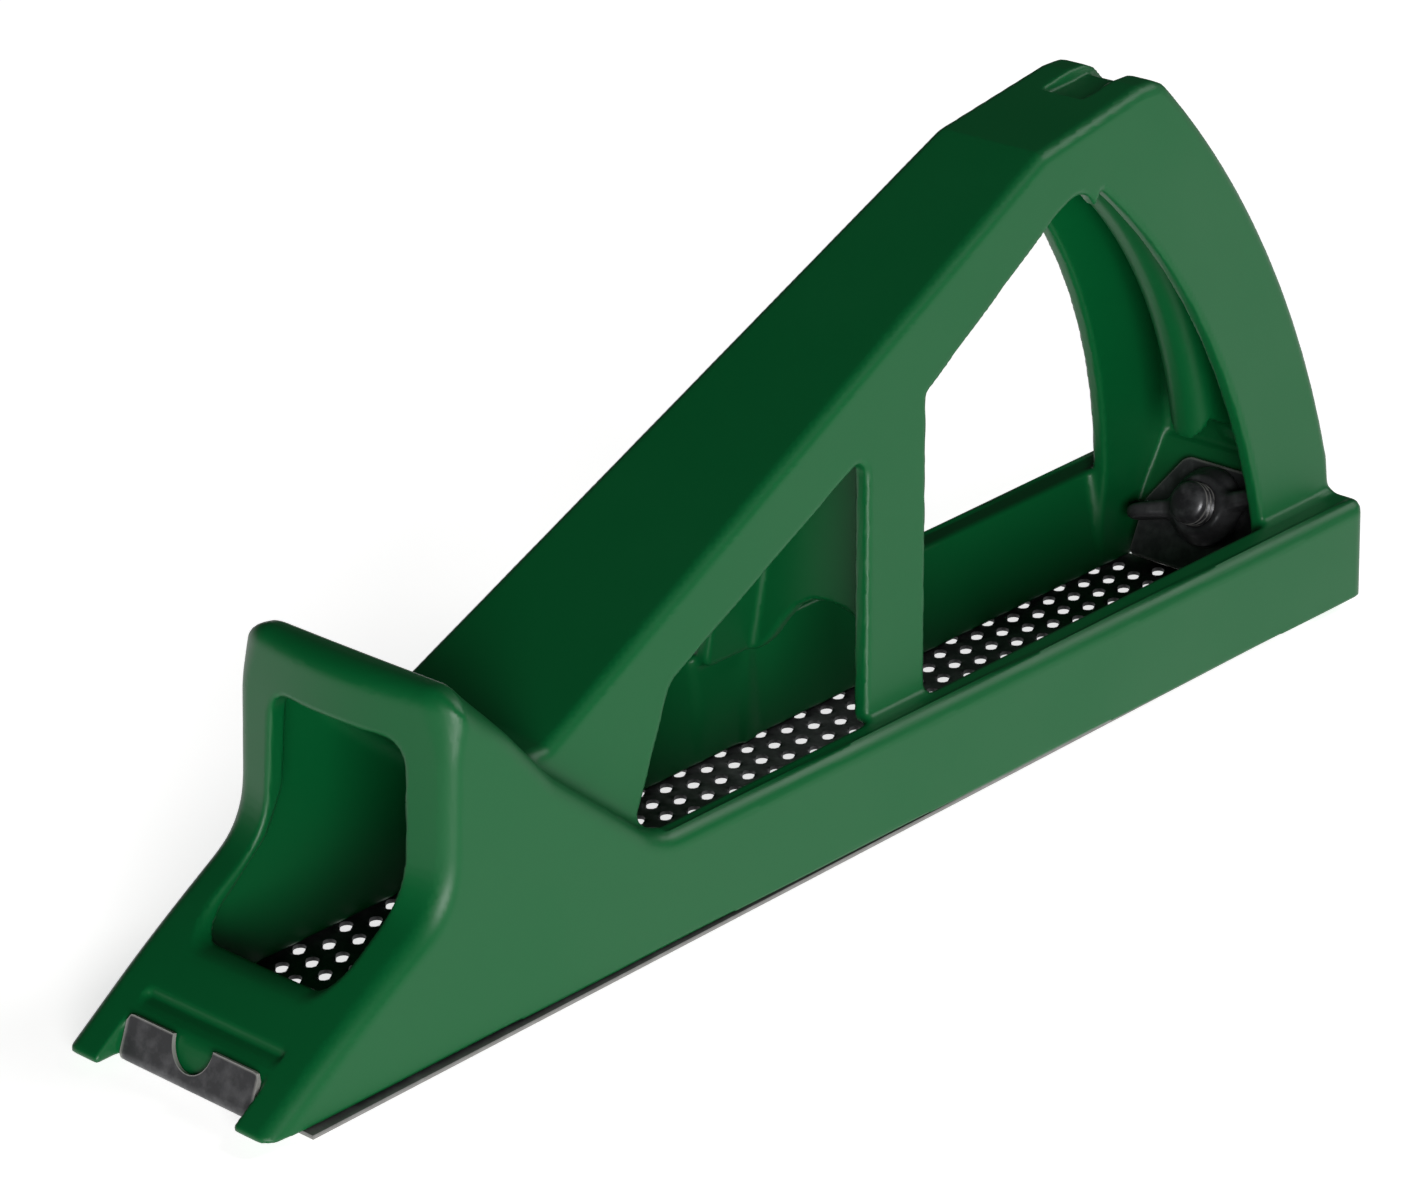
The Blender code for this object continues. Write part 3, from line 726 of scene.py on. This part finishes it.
    def heel_block(self) -> Array:
        """The solid heel behind the tension plate."""
        heel, low = self.lay.heel, self.lay.sole + self.lay.sheet + self.lay.lip_height
        wall_s = self.lay.nut_start + self.lay.nut_length + 2.1
        outline = [self.bolt_line(wall_s, low), self.bolt_line(wall_s, 24.0), (heel - 1, 24.0), (heel - 1, -8),
                   (self.lay.rear_bend + 0.9, -8), (self.lay.rear_bend + 0.9, low)]
        return np.maximum(self.block.side(outline), self.handle_side(self.wall / 2))

    def bolt_line(self, s: float, z: float) -> tuple[float, float]:
        """The (x, z) at height z on the plane square to the bolt at s."""
        t = (z - self.lay.along_bolt(s, 0)[1]) / math.cos(self.lay.bolt_tilt)
        return self.lay.along_bolt(s, t)

    def horn_hollow(self) -> Array:
        """The hollow of the horn and of the bar's root, open below."""
        nose, low, front = self.lay.nose, -8, self.throat_front
        outline = [(nose + 17.8, low), (nose + 17.8, 12.2), (nose + 28.5, 19.8), (nose + 35.6, 26.5),
                   (nose + 39.2, 34.0), (nose + 42.0, self.horn_height - 4.2), (nose + 43.2, self.horn_height - 4.2),
                   (nose + 59.3, 36.8), (front - 8.6, 24.7), (front - self.wall - 0.6, self.lay.rim - 0.5),
                   (front + 2.4 - self.wall, low)]
        block = self.block
        bow = self.bow_back()
        flat = block.slid(block.side(outline), bow * (1 - ramp(block.x, nose + 38, nose + 52)))
        horn = both(flat, self.base_side(self.wall), 3.0)
        root = [(nose + 65.4, 24.0), (nose + 65.4, 36.8)]
        root += [(front - 3.6, 39.0), (front - 1.6, 33.0), (front - 4.6, 19.0)]
        return np.minimum(horn, both(block.side(root), self.handle_side(self.wall), 1.0))

    def horn_window(self) -> Array:
        """The window through the horn's front face."""
        outline = rounded([(-15.6, 15.6, 4.5), (15.6, 15.6, 4.5), (14.6, 50.6, 4), (-14.6, 50.6, 4)])
        return np.maximum(self.block.front(outline), self.block.x - (self.lay.nose + 42.5))

    def nose_recess(self) -> Array:
        """The gap between the lugs, where the blade's front lip hooks over the nose."""
        nose, bend = self.lay.nose, self.lay.front_bend
        seat = bend + 0.65 * math.hypot(1, self.lay.lip_lean)
        middle = self.lay.sole + self.lay.sheet / 2
        low, high = -6, self.lay.sole + self.lay.lip_height + 0.6
        edge = nose + (11.3 - 3.2) / 0.684 - 0.2
        outline = [(nose - 5, low), (seat + self.lay.lip_lean * (low - middle), low),
                   (seat + self.lay.lip_lean * (high - middle), high), (edge - 0.4, 9.7), (edge, 20),
                   (nose - 5, 20)]
        return both(self.block.side(outline), self.across - self.recess_half, 1.0)

    def crown_slot(self) -> Array:
        """The shallow slot over the crown."""
        heel, height, crown = self.lay.heel, self.lay.height, self.crown
        outline = [(heel - 52.3, height + 4), (heel - 52.3, height - 2.7), (crown - 1.0, height - 1.7),
                   (crown + 9.0, height - 13.4), (crown + 13, height - 8), (crown + 4, height + 4)]
        return both(self.block.side(outline), self.across - self.slot_half, 0.5)

    def head_pocket(self) -> Array:
        """The slot that the bolt's head drops into from below."""
        start = self.lay.nut_start + self.lay.nut_length + 4.9
        along = self.lay.along_bolt
        outline = [along(start, 6.4), along(start + 3.1, 6.4), along(start + 3.1, -18), along(start, -18)]
        return np.maximum(self.block.side(outline), self.across - 6.4)

    def field(self) -> Array:
        """The whole moulding as one field of distances."""
        body = carve(self.tub(), self.throat(), 1.0)
        body = carve(body, self.ledge(), 0.3)
        rib = melt(self.handle(), self.spine(), 1.2)
        body = melt(body, melt(rib, self.heel_block(), 0.8), 2.0)
        cuts = ((self.horn_hollow(), 0.8), (self.horn_window(), 0.9), (self.nose_recess(), 0.6),
                (self.crown_slot(), 0.6), (self.turned(5, 13.5, self.lay.bolt_r + 0.3), 0.3),
                (self.head_pocket(), 0.3))
        for cutter, radius in cuts:
            body = carve(body, cutter, radius)
        return np.maximum(body, self.lay.underside - self.block.z)

    def build(self, material: bpy.types.Material) -> None:
        """Makes the moulding's mesh and dresses it."""
        points, quads, normals = self.block.skin(self.field())
        obj = mesh_of("moulding", points, quads, normals)
        stand_in(obj, "body", Body.MOULDING, material)


# ---- the blade ----


@dataclass
class RaspBlade:
    """The toothed strip with a hole at each tooth, and its two bent-up lips."""

    lay: Layout
    half_width: float = 24.9
    tab_half: float = 14.8
    tab_length: float = 3.4
    notch_r: float = 4.5
    pitch: float = 10.04
    row: float = 2.37
    stagger: float = 0.579
    first_x: float = -12.557
    first_y: float = 13.304
    hole_r: float = 1.12
    tooth_reach: float = 1.0  # how far round the hole the metal is pushed down
    rings: tuple[float, ...] = (0.62, 0.25, 0.0)  # where the rings round a hole lie, as shares of the reach
    lip_r: float = 1.1  # radius of the lip's bend
    lip_corner: float = 1.2
    lip_overlap: float = 0.6
    lip_steps: int = 26
    cut_turn: float = math.radians(200)  # the teeth's edge is set a little across the stroke

    def lattice(self) -> list[tuple[float, float]]:
        """The centres of all the holes that fit on the strip."""
        low, high = self.lay.front_bend + self.tab_length + 2.6, self.lay.rear_bend - self.tab_length - 2.6
        found = []
        for j in range(-20, 20):
            y = self.first_y + self.row * j
            if abs(y) > self.half_width - 2.9:
                continue
            for i in range(-40, 40):
                x = self.first_x + self.pitch * (i + self.stagger * j)
                if low < x < high:
                    found.append((x, y))
        return found

    def sink(self, dx: Array, dy: Array) -> Array:
        """How far the metal beside a hole is pushed down, at an offset from its centre."""
        r = np.hypot(dx, dy)
        facing = np.cos(np.arctan2(dy, dx) - self.cut_turn)
        fade = np.clip(1 - (r - self.hole_r) / self.tooth_reach, 0, 1)
        return self.lay.sole * np.clip(facing, 0, 1) ** 1.2 * fade * fade * (3 - 2 * fade)

    def sheet(self) -> tuple[list[tuple[float, float, float]], list[tuple[int, ...]], list[float]]:
        """The perforated strip.

        Returns:
            Its points, its faces and how much pale edge colour each point takes (rub wear and painted highlight).
        """
        u = (self.pitch * (self.stagger - 1), self.row)
        v = (self.pitch * (2 * self.stagger - 1), 2 * self.row)
        side = 4
        points: list[tuple[float, float, float]] = []
        worn: list[float] = []
        faces: list[tuple[int, ...]] = []
        shared: dict[tuple[int, int, bool], int] = {}
        border: dict[tuple[int, int], None] = {}  # keeps the edges in the order they were added
        upper, lower = self.lay.sole + self.lay.sheet, self.lay.sole

        def corner(x: float, y: float, top: bool) -> int:
            """The number of the flat strip's point here, made once."""
            key = (math.floor((x + 0.0011003) / 0.003), math.floor((y + 0.0011003) / 0.003), top)
            if key not in shared:
                shared[key] = len(points)
                points.append((x, y, upper if top else lower))
                worn.append(0.0)
            return shared[key]

        square = [(-1 + 2 * k / side, -1) for k in range(side)] + [(1, -1 + 2 * k / side) for k in range(side)]
        square += [(1 - 2 * k / side, 1) for k in range(side)] + [(-1, 1 - 2 * k / side) for k in range(side)]
        for x, y in self.lattice():
            rings: dict[bool, list[list[int]]] = {True: [], False: []}
            outer = [(x + (a * u[0] + b * v[0]) / 2, y + (a * u[1] + b * v[1]) / 2) for a, b in square]
            angles = [math.atan2(py - y, px - x) for px, py in outer]
            for top in (True, False):
                rings[top].append([corner(px, py, top) for px, py in outer])
                for share in self.rings:
                    r = self.hole_r + self.tooth_reach * share
                    ring = []
                    for angle in angles:
                        dx, dy = r * math.cos(angle), r * math.sin(angle)
                        drop = float(self.sink(np.array(dx), np.array(dy)))
                        ring.append(len(points))
                        points.append((x + dx, y + dy, (upper if top else lower) - drop))
                        # pale colour at the pushed-down tooth edges: rub wear and a painted highlight
                        worn.append(0.9 * drop / self.lay.sole if not share and not top else 0.0)
                    rings[top].append(ring)
            count = len(square)
            for k in range(count):
                n = (k + 1) % count
                for outside, inside in zip(rings[True], rings[True][1:]):
                    faces.append((outside[k], outside[n], inside[n], inside[k]))
                for outside, inside in zip(rings[False], rings[False][1:]):
                    faces.append((outside[n], outside[k], inside[k], inside[n]))
                top_ring, low_ring = rings[True][-1], rings[False][-1]
                faces.append((top_ring[k], top_ring[n], low_ring[n], low_ring[k]))
                ring = rings[True][0]
                if (ring[n], ring[k]) in border:
                    del border[ring[n], ring[k]]
                else:
                    border[ring[k], ring[n]] = None
        self.margin(points, worn, faces, border)
        return points, faces, worn

    def round_trip(self, border: dict[tuple[int, int], None]) -> list[int]:
        """The longest closed trip along these edges, as point numbers."""
        after = {a: b for a, b in border}
        trips = []
        while after:
            number = next(iter(after))
            trip = []
            while number in after:
                trip.append(number)
                number = after.pop(number)
            trips.append(trip)
        return max(trips, key=len)

    def margin(
        self,
        points: list[tuple[float, float, float]],
        worn: list[float],
        faces: list[tuple[int, ...]],
        border: dict[tuple[int, int], None],
    ) -> None:
        """Fills the plain strip between the holes' cells and the blade's edges, and closes its sides.

        Args:
            points: the strip's points, added to.
            worn: how much pale edge colour each takes (rub wear and painted highlight), added to.
            faces: the strip's faces, added to.
            border: the cells' outer edges on the upper face, as pairs of point numbers.
        """
        upper, lower = self.lay.sole + self.lay.sheet, self.lay.sole
        loop = self.round_trip(border)
        low, high = self.lay.front_bend + self.tab_length, self.lay.rear_bend - self.tab_length
        w, t = self.half_width, self.tab_half
        rim = [(low, -w), (high, -w), (high, -t), (high, t), (high, w), (low, w), (low, t), (low, -t)]
        twin = {}
        for number in loop:
            x, y, _ = points[number]
            twin[number] = len(points)
            points.append((x, y, lower))
            worn.append(0.0)
        first = len(points)
        for height in (upper, lower):
            for x, y in rim:
                points.append((x, y, height))
                # pale colour along the strip's edges: rub wear and a painted highlight
                worn.append(0.35 if height == lower else 0.15)
        outer = [Vector((*xy, 0)) for xy in rim]
        inner = [Vector((points[n][0], points[n][1], 0)) for n in loop]
        numbers = [first + k for k in range(len(rim))] + loop
        below = [first + len(rim) + k for k in range(len(rim))] + [twin[n] for n in loop]
        for a, b, c in tessellate_polygon([outer, inner]):
            (ax, ay, _), (bx, by, _), (cx, cy, _) = (points[numbers[k]] for k in (a, b, c))
            turn = (bx - ax) * (cy - ay) - (by - ay) * (cx - ax)
            order = (a, b, c) if turn > 0 else (a, c, b)
            faces.append(tuple(numbers[k] for k in order))
            faces.append(tuple(below[k] for k in reversed(order)))
        count = len(rim)
        for k in range(count):
            n = (k + 1) % count
            faces.append((first + count + k, first + count + n, first + n, first + k))

    def lip(self, bend: float, facing: int) -> tuple[Array, Array, Array]:
        """One narrow tab, bent up into a lip that leans back over the blade, with its thumb notch.

        Args:
            bend: the x of the bend.
            facing: 1 at the front, -1 at the rear.

        Returns:
            The points, the quads and how worn each point is.
        """
        lay = self.lay
        middle = lay.sole + lay.sheet / 2
        radius = self.lip_r
        lean = math.atan(lay.lip_lean)
        turn = math.pi / 2 + lean
        reach = radius * math.tan(turn / 2)
        across_notch = self.notch_r * np.sin(np.linspace(-math.pi / 2, math.pi / 2, 33))
        columns = np.unique(np.concatenate([np.linspace(-self.tab_half, self.tab_half, 45), across_notch]))
        steps = self.lip_steps
        rows = []
        for y in columns:
            inside = max(self.notch_r ** 2 - y * y, 0)
            dip = math.sqrt(inside) / math.cos(lean)
            corner = max(abs(y) - (self.tab_half - self.lip_corner), 0)
            dip += self.lip_corner - math.sqrt(max(self.lip_corner ** 2 - corner * corner, 0))
            flat = self.tab_length + self.lip_overlap - reach
            rise = (lay.lip_height - lay.sheet / 2) / math.cos(lean) - reach - dip
            total = flat + radius * turn + rise
            line = []
            for step in range(steps + 1):
                d = total * step / steps
                if d < flat:
                    px, pz, angle = -self.tab_length - self.lip_overlap + d, 0.0, 0.0
                elif d < flat + radius * turn:
                    angle = (d - flat) / radius
                    px, pz = -reach + radius * math.sin(angle), radius * (1 - math.cos(angle))
                else:
                    angle = turn
                    over = d - flat - radius * turn
                    px = -reach + radius * math.sin(turn) + over * math.cos(turn)
                    pz = radius * (1 - math.cos(turn)) + over * math.sin(turn)
                line.append((px, pz, angle))
            rows.append(line)
        points, worn = [], []
        for offset in (lay.sheet / 2, -lay.sheet / 2):
            for y, line in zip(columns, rows):
                for step, (px, pz, angle) in enumerate(line):
                    x = px - offset * math.sin(angle)
                    z = pz + offset * math.cos(angle)
                    points.append((bend - facing * x, y, middle + z))
                    # pale colour along the lip's edges: rub wear and a painted highlight
                    edge = step == steps or abs(y) > self.tab_half - 0.01
                    worn.append(0.5 if edge else 0.0)
        across, along = len(columns), steps + 1
        face_count = across * along
        quads = []
        for k in range(across - 1):
            for m in range(steps):
                a = k * along + m
                quad = (a, a + 1, a + along + 1, a + along)
                quads.append(quad)
                quads.append(tuple(face_count + n for n in reversed(quad)))
            end = k * along + steps
            quads.append((end, end + face_count, end + along + face_count, end + along))
            root = k * along
            quads.append((root + along, root + along + face_count, root + face_count, root))
        for k, flip in ((0, False), (across - 1, True)):
            for m in range(steps):
                a = k * along + m
                quad = (a, a + face_count, a + 1 + face_count, a + 1)
                quads.append(tuple(reversed(quad)) if flip else quad)
        made = np.array(quads)
        return np.array(points), made if facing > 0 else made[:, ::-1], np.array(worn)

    def build(self, material: bpy.types.Material) -> None:
        """Makes the blade's mesh and dresses it."""
        points, faces, worn = self.sheet()
        for bend, facing in ((self.lay.front_bend, 1), (self.lay.rear_bend, -1)):
            more, quads, edge = self.lip(bend, facing)
            base = len(points)
            points += [tuple(p) for p in more]
            worn += list(edge)
            faces += [tuple(int(n) + base for n in quad) for quad in quads]
        obj = mesh_of("rasp_blade", np.array(points), faces)
        obj.data.set_sharp_from_angle(angle=math.radians(38))
        # the blade's edges take a pale colour: rub wear and a painted highlight
        mark_rub_and_highlight(obj, np.array(worn))
        stand_in(obj, "blade", Body.BLADE, material)


# ---- the tensioner ----


@dataclass
class TensionBolt:
    """The bolt that the wing nut runs on: a rolled thread, a domed end and a flat round head."""

    lay: Layout
    thread_pitch: float = 1.25
    thread_depth: float = 0.62
    thread_end: float = 10.0
    dome: float = 1.4
    head_r: float = 5.8
    head_start: float = 12.5
    head_thick: float = 2.5
    around: int = 60
    # pale colour on the thread crests: rub wear and a painted highlight
    crest_rub_and_highlight: float = 0.35

    def radius(self, s: float, angle: float) -> float:
        """The bolt's radius at s, at this angle round it."""
        bolt = self.lay.bolt_r
        phase = (s / self.thread_pitch - angle / (2 * math.pi)) % 1.0
        cut = self.thread_depth * max(0.0, 1 - abs(phase - 0.5) / 0.44)
        cut *= min(max((s - 0.1) / 0.8, 0), 1) * (1 if s < self.thread_end else 0)
        if s < 0:
            share = min(max(-s / self.dome, 0), 1)
            return (bolt - 0.25) * math.sqrt(max(1 - share * share, 0))
        return bolt - cut - 0.25 * max(0.0, 1 - s / 0.4)

    def build(self, material: bpy.types.Material) -> None:
        """Makes the bolt's mesh and dresses it."""
        rows = [-self.dome * math.cos(math.pi / 2 * k / 10) for k in range(1, 11)]
        rows += [0.1 + 0.12 * k for k in range(int((self.thread_end - 0.1) / 0.12))]
        rows += [self.thread_end + 0.05, self.head_start - 0.05]
        rings = []
        angles = [2 * math.pi * k / self.around for k in range(self.around)]
        for s in rows:
            rings.append([(s, self.radius(s, a) * math.cos(a), self.radius(s, a) * math.sin(a)) for a in angles])
        end = self.head_start + self.head_thick
        head = ((self.head_start, self.lay.bolt_r), (self.head_start, self.head_r - 0.3),
                (self.head_start + 0.3, self.head_r), (end - 0.4, self.head_r), (end, self.head_r - 0.4))
        for s, r in head:
            rings.append([(s, r * math.cos(a), r * math.sin(a)) for a in angles])
        points = [(-self.dome, 0.0, 0.0)] + [p for ring in rings for p in ring] + [(end, 0.0, 0.0)]
        count = self.around
        faces: list[tuple[int, ...]] = [(0, 1 + (k + 1) % count, 1 + k) for k in range(count)]
        for ring in range(len(rings) - 1):
            for k in range(count):
                a, b = 1 + ring * count + k, 1 + ring * count + (k + 1) % count
                faces.append((a, b, b + count, a + count))
        last = 1 + (len(rings) - 1) * count
        faces += [(last + k, last + (k + 1) % count, len(points) - 1) for k in range(count)]
        obj = mesh_of("threaded_bolt", self.lay.onto_bolt(np.array(points)), faces)
        obj.data.set_sharp_from_angle(angle=math.radians(50))
        place = np.array(points)
        # thread crests get the pale edge colour: rub wear and a painted highlight
        on_thread = (0 < place[:, 0]) & (place[:, 0] < self.thread_end)
        crest = on_thread & (np.hypot(place[:, 1], place[:, 2]) > self.lay.bolt_r - 0.1)
        mark_rub_and_highlight(obj, self.crest_rub_and_highlight * crest)
        stand_in(obj, "tension_bolt", Body.MOULDING, material)


@dataclass
class WingNut:
    """The cast wing nut: a conical hub and two leaves that sweep forward."""

    lay: Layout
    cell: float = 0.33
    hub_front: float = 5.6
    hub_rear: float = 7.4
    leaf_thick: float = 1.7

    def field(self, block: Block) -> Array:
        """The nut as distances in (s, y, t)."""
        start, end = self.lay.nut_start, self.lay.nut_start + self.lay.nut_length
        radial = np.hypot(block.y, block.z)
        cone = self.hub_front + (self.hub_rear - self.hub_front) * ramp(block.x, start, end - 0.8)
        hub = both(radial - cone, np.abs(block.x - (start + end) / 2) - (end - start) / 2, 0.7)
        turn = self.lay.wing_turn
        across = block.y * math.cos(turn) + block.z * math.sin(turn)
        lift = -block.y * math.sin(turn) + block.z * math.cos(turn)
        leaf = rounded([
            (end - 0.2, 4.5, 0.5),
            (end - 0.5, 7.6, 2.0),
            (start + 3.0, self.lay.wing_reach - 0.5, 2.6),
            (start - 2.4, self.lay.wing_reach - 0.2, 2.6),
            (start - 1.4, 9.5, 4.0),
            (start + 0.6, 4.5, 0.5),
        ])
        shape = block.outline(leaf, block.x + 0 * across, np.abs(across) + 0 * block.x)
        thick = self.leaf_thick - 0.05 * (np.abs(across) - 6)
        wings = both(shape, np.abs(lift) - thick, 1.15)
        nut = melt(hub, wings, 1.6)
        return carve(nut, radial - (self.lay.bolt_r + 0.05), 0.4)

    def build(self, material: bpy.types.Material) -> None:
        """Makes the nut's mesh and dresses it."""
        block = Block((-1.5, -17, -9), (9.0, 17, 9), self.cell)
        points, quads, normals = block.skin(self.field(block))
        obj = mesh_of("cast_wing_nut", self.lay.onto_bolt(points), quads, normals @ self.lay.bolt_matrix().T)
        reach = np.hypot(points[:, 1], points[:, 2])
        # pale colour toward the wing tips: rub wear and a painted highlight
        mark_rub_and_highlight(obj, np.clip((reach - self.lay.wing_reach + 1.2) / 3, 0, 0.35))
        stand_in(obj, "wing_nut", Body.NUT, material)


@dataclass
class TensionPlate:
    """The pressed plate that the nut pushes on, with its foot in front of the blade's rear lip."""

    lay: Layout
    cell: float = 0.3
    thick: float = 1.5
    half_width: float = 14.6
    drop: float = 12.4
    rise: float = 8.0

    def build(self, material: bpy.types.Material) -> None:
        """Makes the plate's mesh and dresses it."""
        start = self.lay.nut_start + self.lay.nut_length + 0.3
        block = Block((start - 1, -16, -14), (start + self.thick + 1, 16, 10), self.cell)
        w = self.half_width
        face = rounded([(-w, -self.drop, 1.5), (w, -self.drop, 1.5), (w, -2.0, 3), (8.4, self.rise, 3),
                        (-8.4, self.rise, 3), (-w, -2.0, 3)])
        middle = start + self.thick / 2
        field = both(block.front(face), np.abs(block.x - middle) - self.thick / 2, 0.35)
        field = carve(field, np.hypot(block.y, block.z) - (self.lay.bolt_r + 0.3), 0.2)
        points, quads, normals = block.skin(field)
        obj = mesh_of("pressed_tension_plate", self.lay.onto_bolt(points), quads,
                      normals @ self.lay.bolt_matrix().T)
        # pale colour along the plate's rim: rub wear and a painted highlight
        rim = np.abs(block.outline(face, points[:, 1], points[:, 2]))
        mark_rub_and_highlight(obj, 0.5 * np.clip(1 - rim / 0.5, 0, 1))
        stand_in(obj, "tension_plate", Body.CARRIAGE, material)


# ---- the studio ----


@dataclass
class Studio:
    """The floor, the lights and the camera."""

    azimuth: float = -45.991
    elevation: float = 23.840
    roll: float = -1.913
    lens_mm: float = 122.4235
    sensor_mm: float = 36.0
    place: tuple[float, float, float] = (-526.80, -499.11, 359.09)
    floor_glow: float = 0.72  # the floor is a lit white table, so its shadows stay faint
    floor_reach: float = 6000.0
    room_glow: float = 0.03
    aim: tuple[float, float, float] = (0.0, 0.0, 0.04)  # what the lamps face, in metres

    def camera(self) -> None:
        """Sets the camera."""
        a, e, r = (math.radians(v) for v in (self.azimuth, self.elevation, self.roll))
        back = Vector((math.sin(a) * math.cos(e), -math.cos(a) * math.cos(e), math.sin(e)))
        right = Vector((math.cos(a), math.sin(a), 0))
        up = back.cross(right)
        turned_right = math.cos(r) * right + math.sin(r) * up
        turned_up = math.cos(r) * up - math.sin(r) * right
        data = bpy.data.cameras.new("camera")
        data.sensor_width = self.sensor_mm
        data.lens = self.lens_mm
        data.clip_end = 20.0
        camera = bpy.data.objects.new("camera", data)
        bpy.context.scene.collection.objects.link(camera)
        turn = Matrix((turned_right, turned_up, back)).transposed().to_4x4()
        camera.matrix_world = Matrix.Translation(Vector(self.place) * MM) @ turn
        bpy.context.scene.camera = camera

    def floor(self) -> None:
        """The plain pale floor."""
        material, _, shader = blank("pale_floor")
        shader.inputs["Base Color"].default_value = linear("f4f4f2")
        shader.inputs["Roughness"].default_value = 0.7
        shader.inputs["Emission Color"].default_value = linear("ffffff")
        shader.inputs["Emission Strength"].default_value = self.floor_glow
        reach = self.floor_reach
        points = np.array([(-reach, -reach, 0), (reach, -reach, 0), (reach, reach, 0), (-reach, reach, 0)], float)
        floor = mesh_of("floor", points, np.array([[0, 1, 2, 3]]))
        floor.data.materials.append(material)

    def light(self, name: str, place: tuple[float, float, float], size: float, watts: float) -> None:
        """A square softbox that faces the object.

        Args:
            name: the lamp's name.
            place: its centre, in metres.
            size: its side, in metres.
            watts: its power.
        """
        data = bpy.data.lights.new(name, "AREA")
        data.shape = "SQUARE"
        data.size = size
        data.energy = watts
        lamp = bpy.data.objects.new(name, data)
        lamp.location = place
        lamp.rotation_euler = (Vector(self.aim) - Vector(place)).to_track_quat("-Z", "Y").to_euler()
        bpy.context.scene.collection.objects.link(lamp)

    def build(self) -> None:
        """Sets up the whole studio."""
        self.camera()
        self.floor()
        world = bpy.data.worlds.new("studio")
        world.use_nodes = True
        ground = world.node_tree.nodes["Background"]
        ground.inputs["Color"].default_value = linear("ffffff")
        ground.inputs["Strength"].default_value = self.room_glow
        bpy.context.scene.world = world
        bpy.context.scene.view_settings.view_transform = "Standard"
        self.light("overhead_softbox", (1.3, -0.8, 1.3), 0.9, 17.0)
        self.light("front_softbox", (-1.35, -1.6, 0.34), 1.0, 64.0)


def main() -> None:
    """Builds the plane and its studio."""
    logging.basicConfig(level=logging.INFO, format="%(message)s")
    lay = Layout()
    Moulding(lay).build(MouldedPolypropylene().material())
    RaspBlade(lay).build(BlackenedSteel("blackened_blade_steel").material())
    TensionBolt(lay).build(BlackenedSteel("black_oxide_bolt", colour="2b2b2d", roughness=0.4).material())
    WingNut(lay).build(BlackenedSteel("blackened_casting", colour="333335", scuffed="505052").material())
    TensionPlate(lay).build(BlackenedSteel("blackened_plate").material())
    Studio().build()


if __name__ == "__main__":
    main()
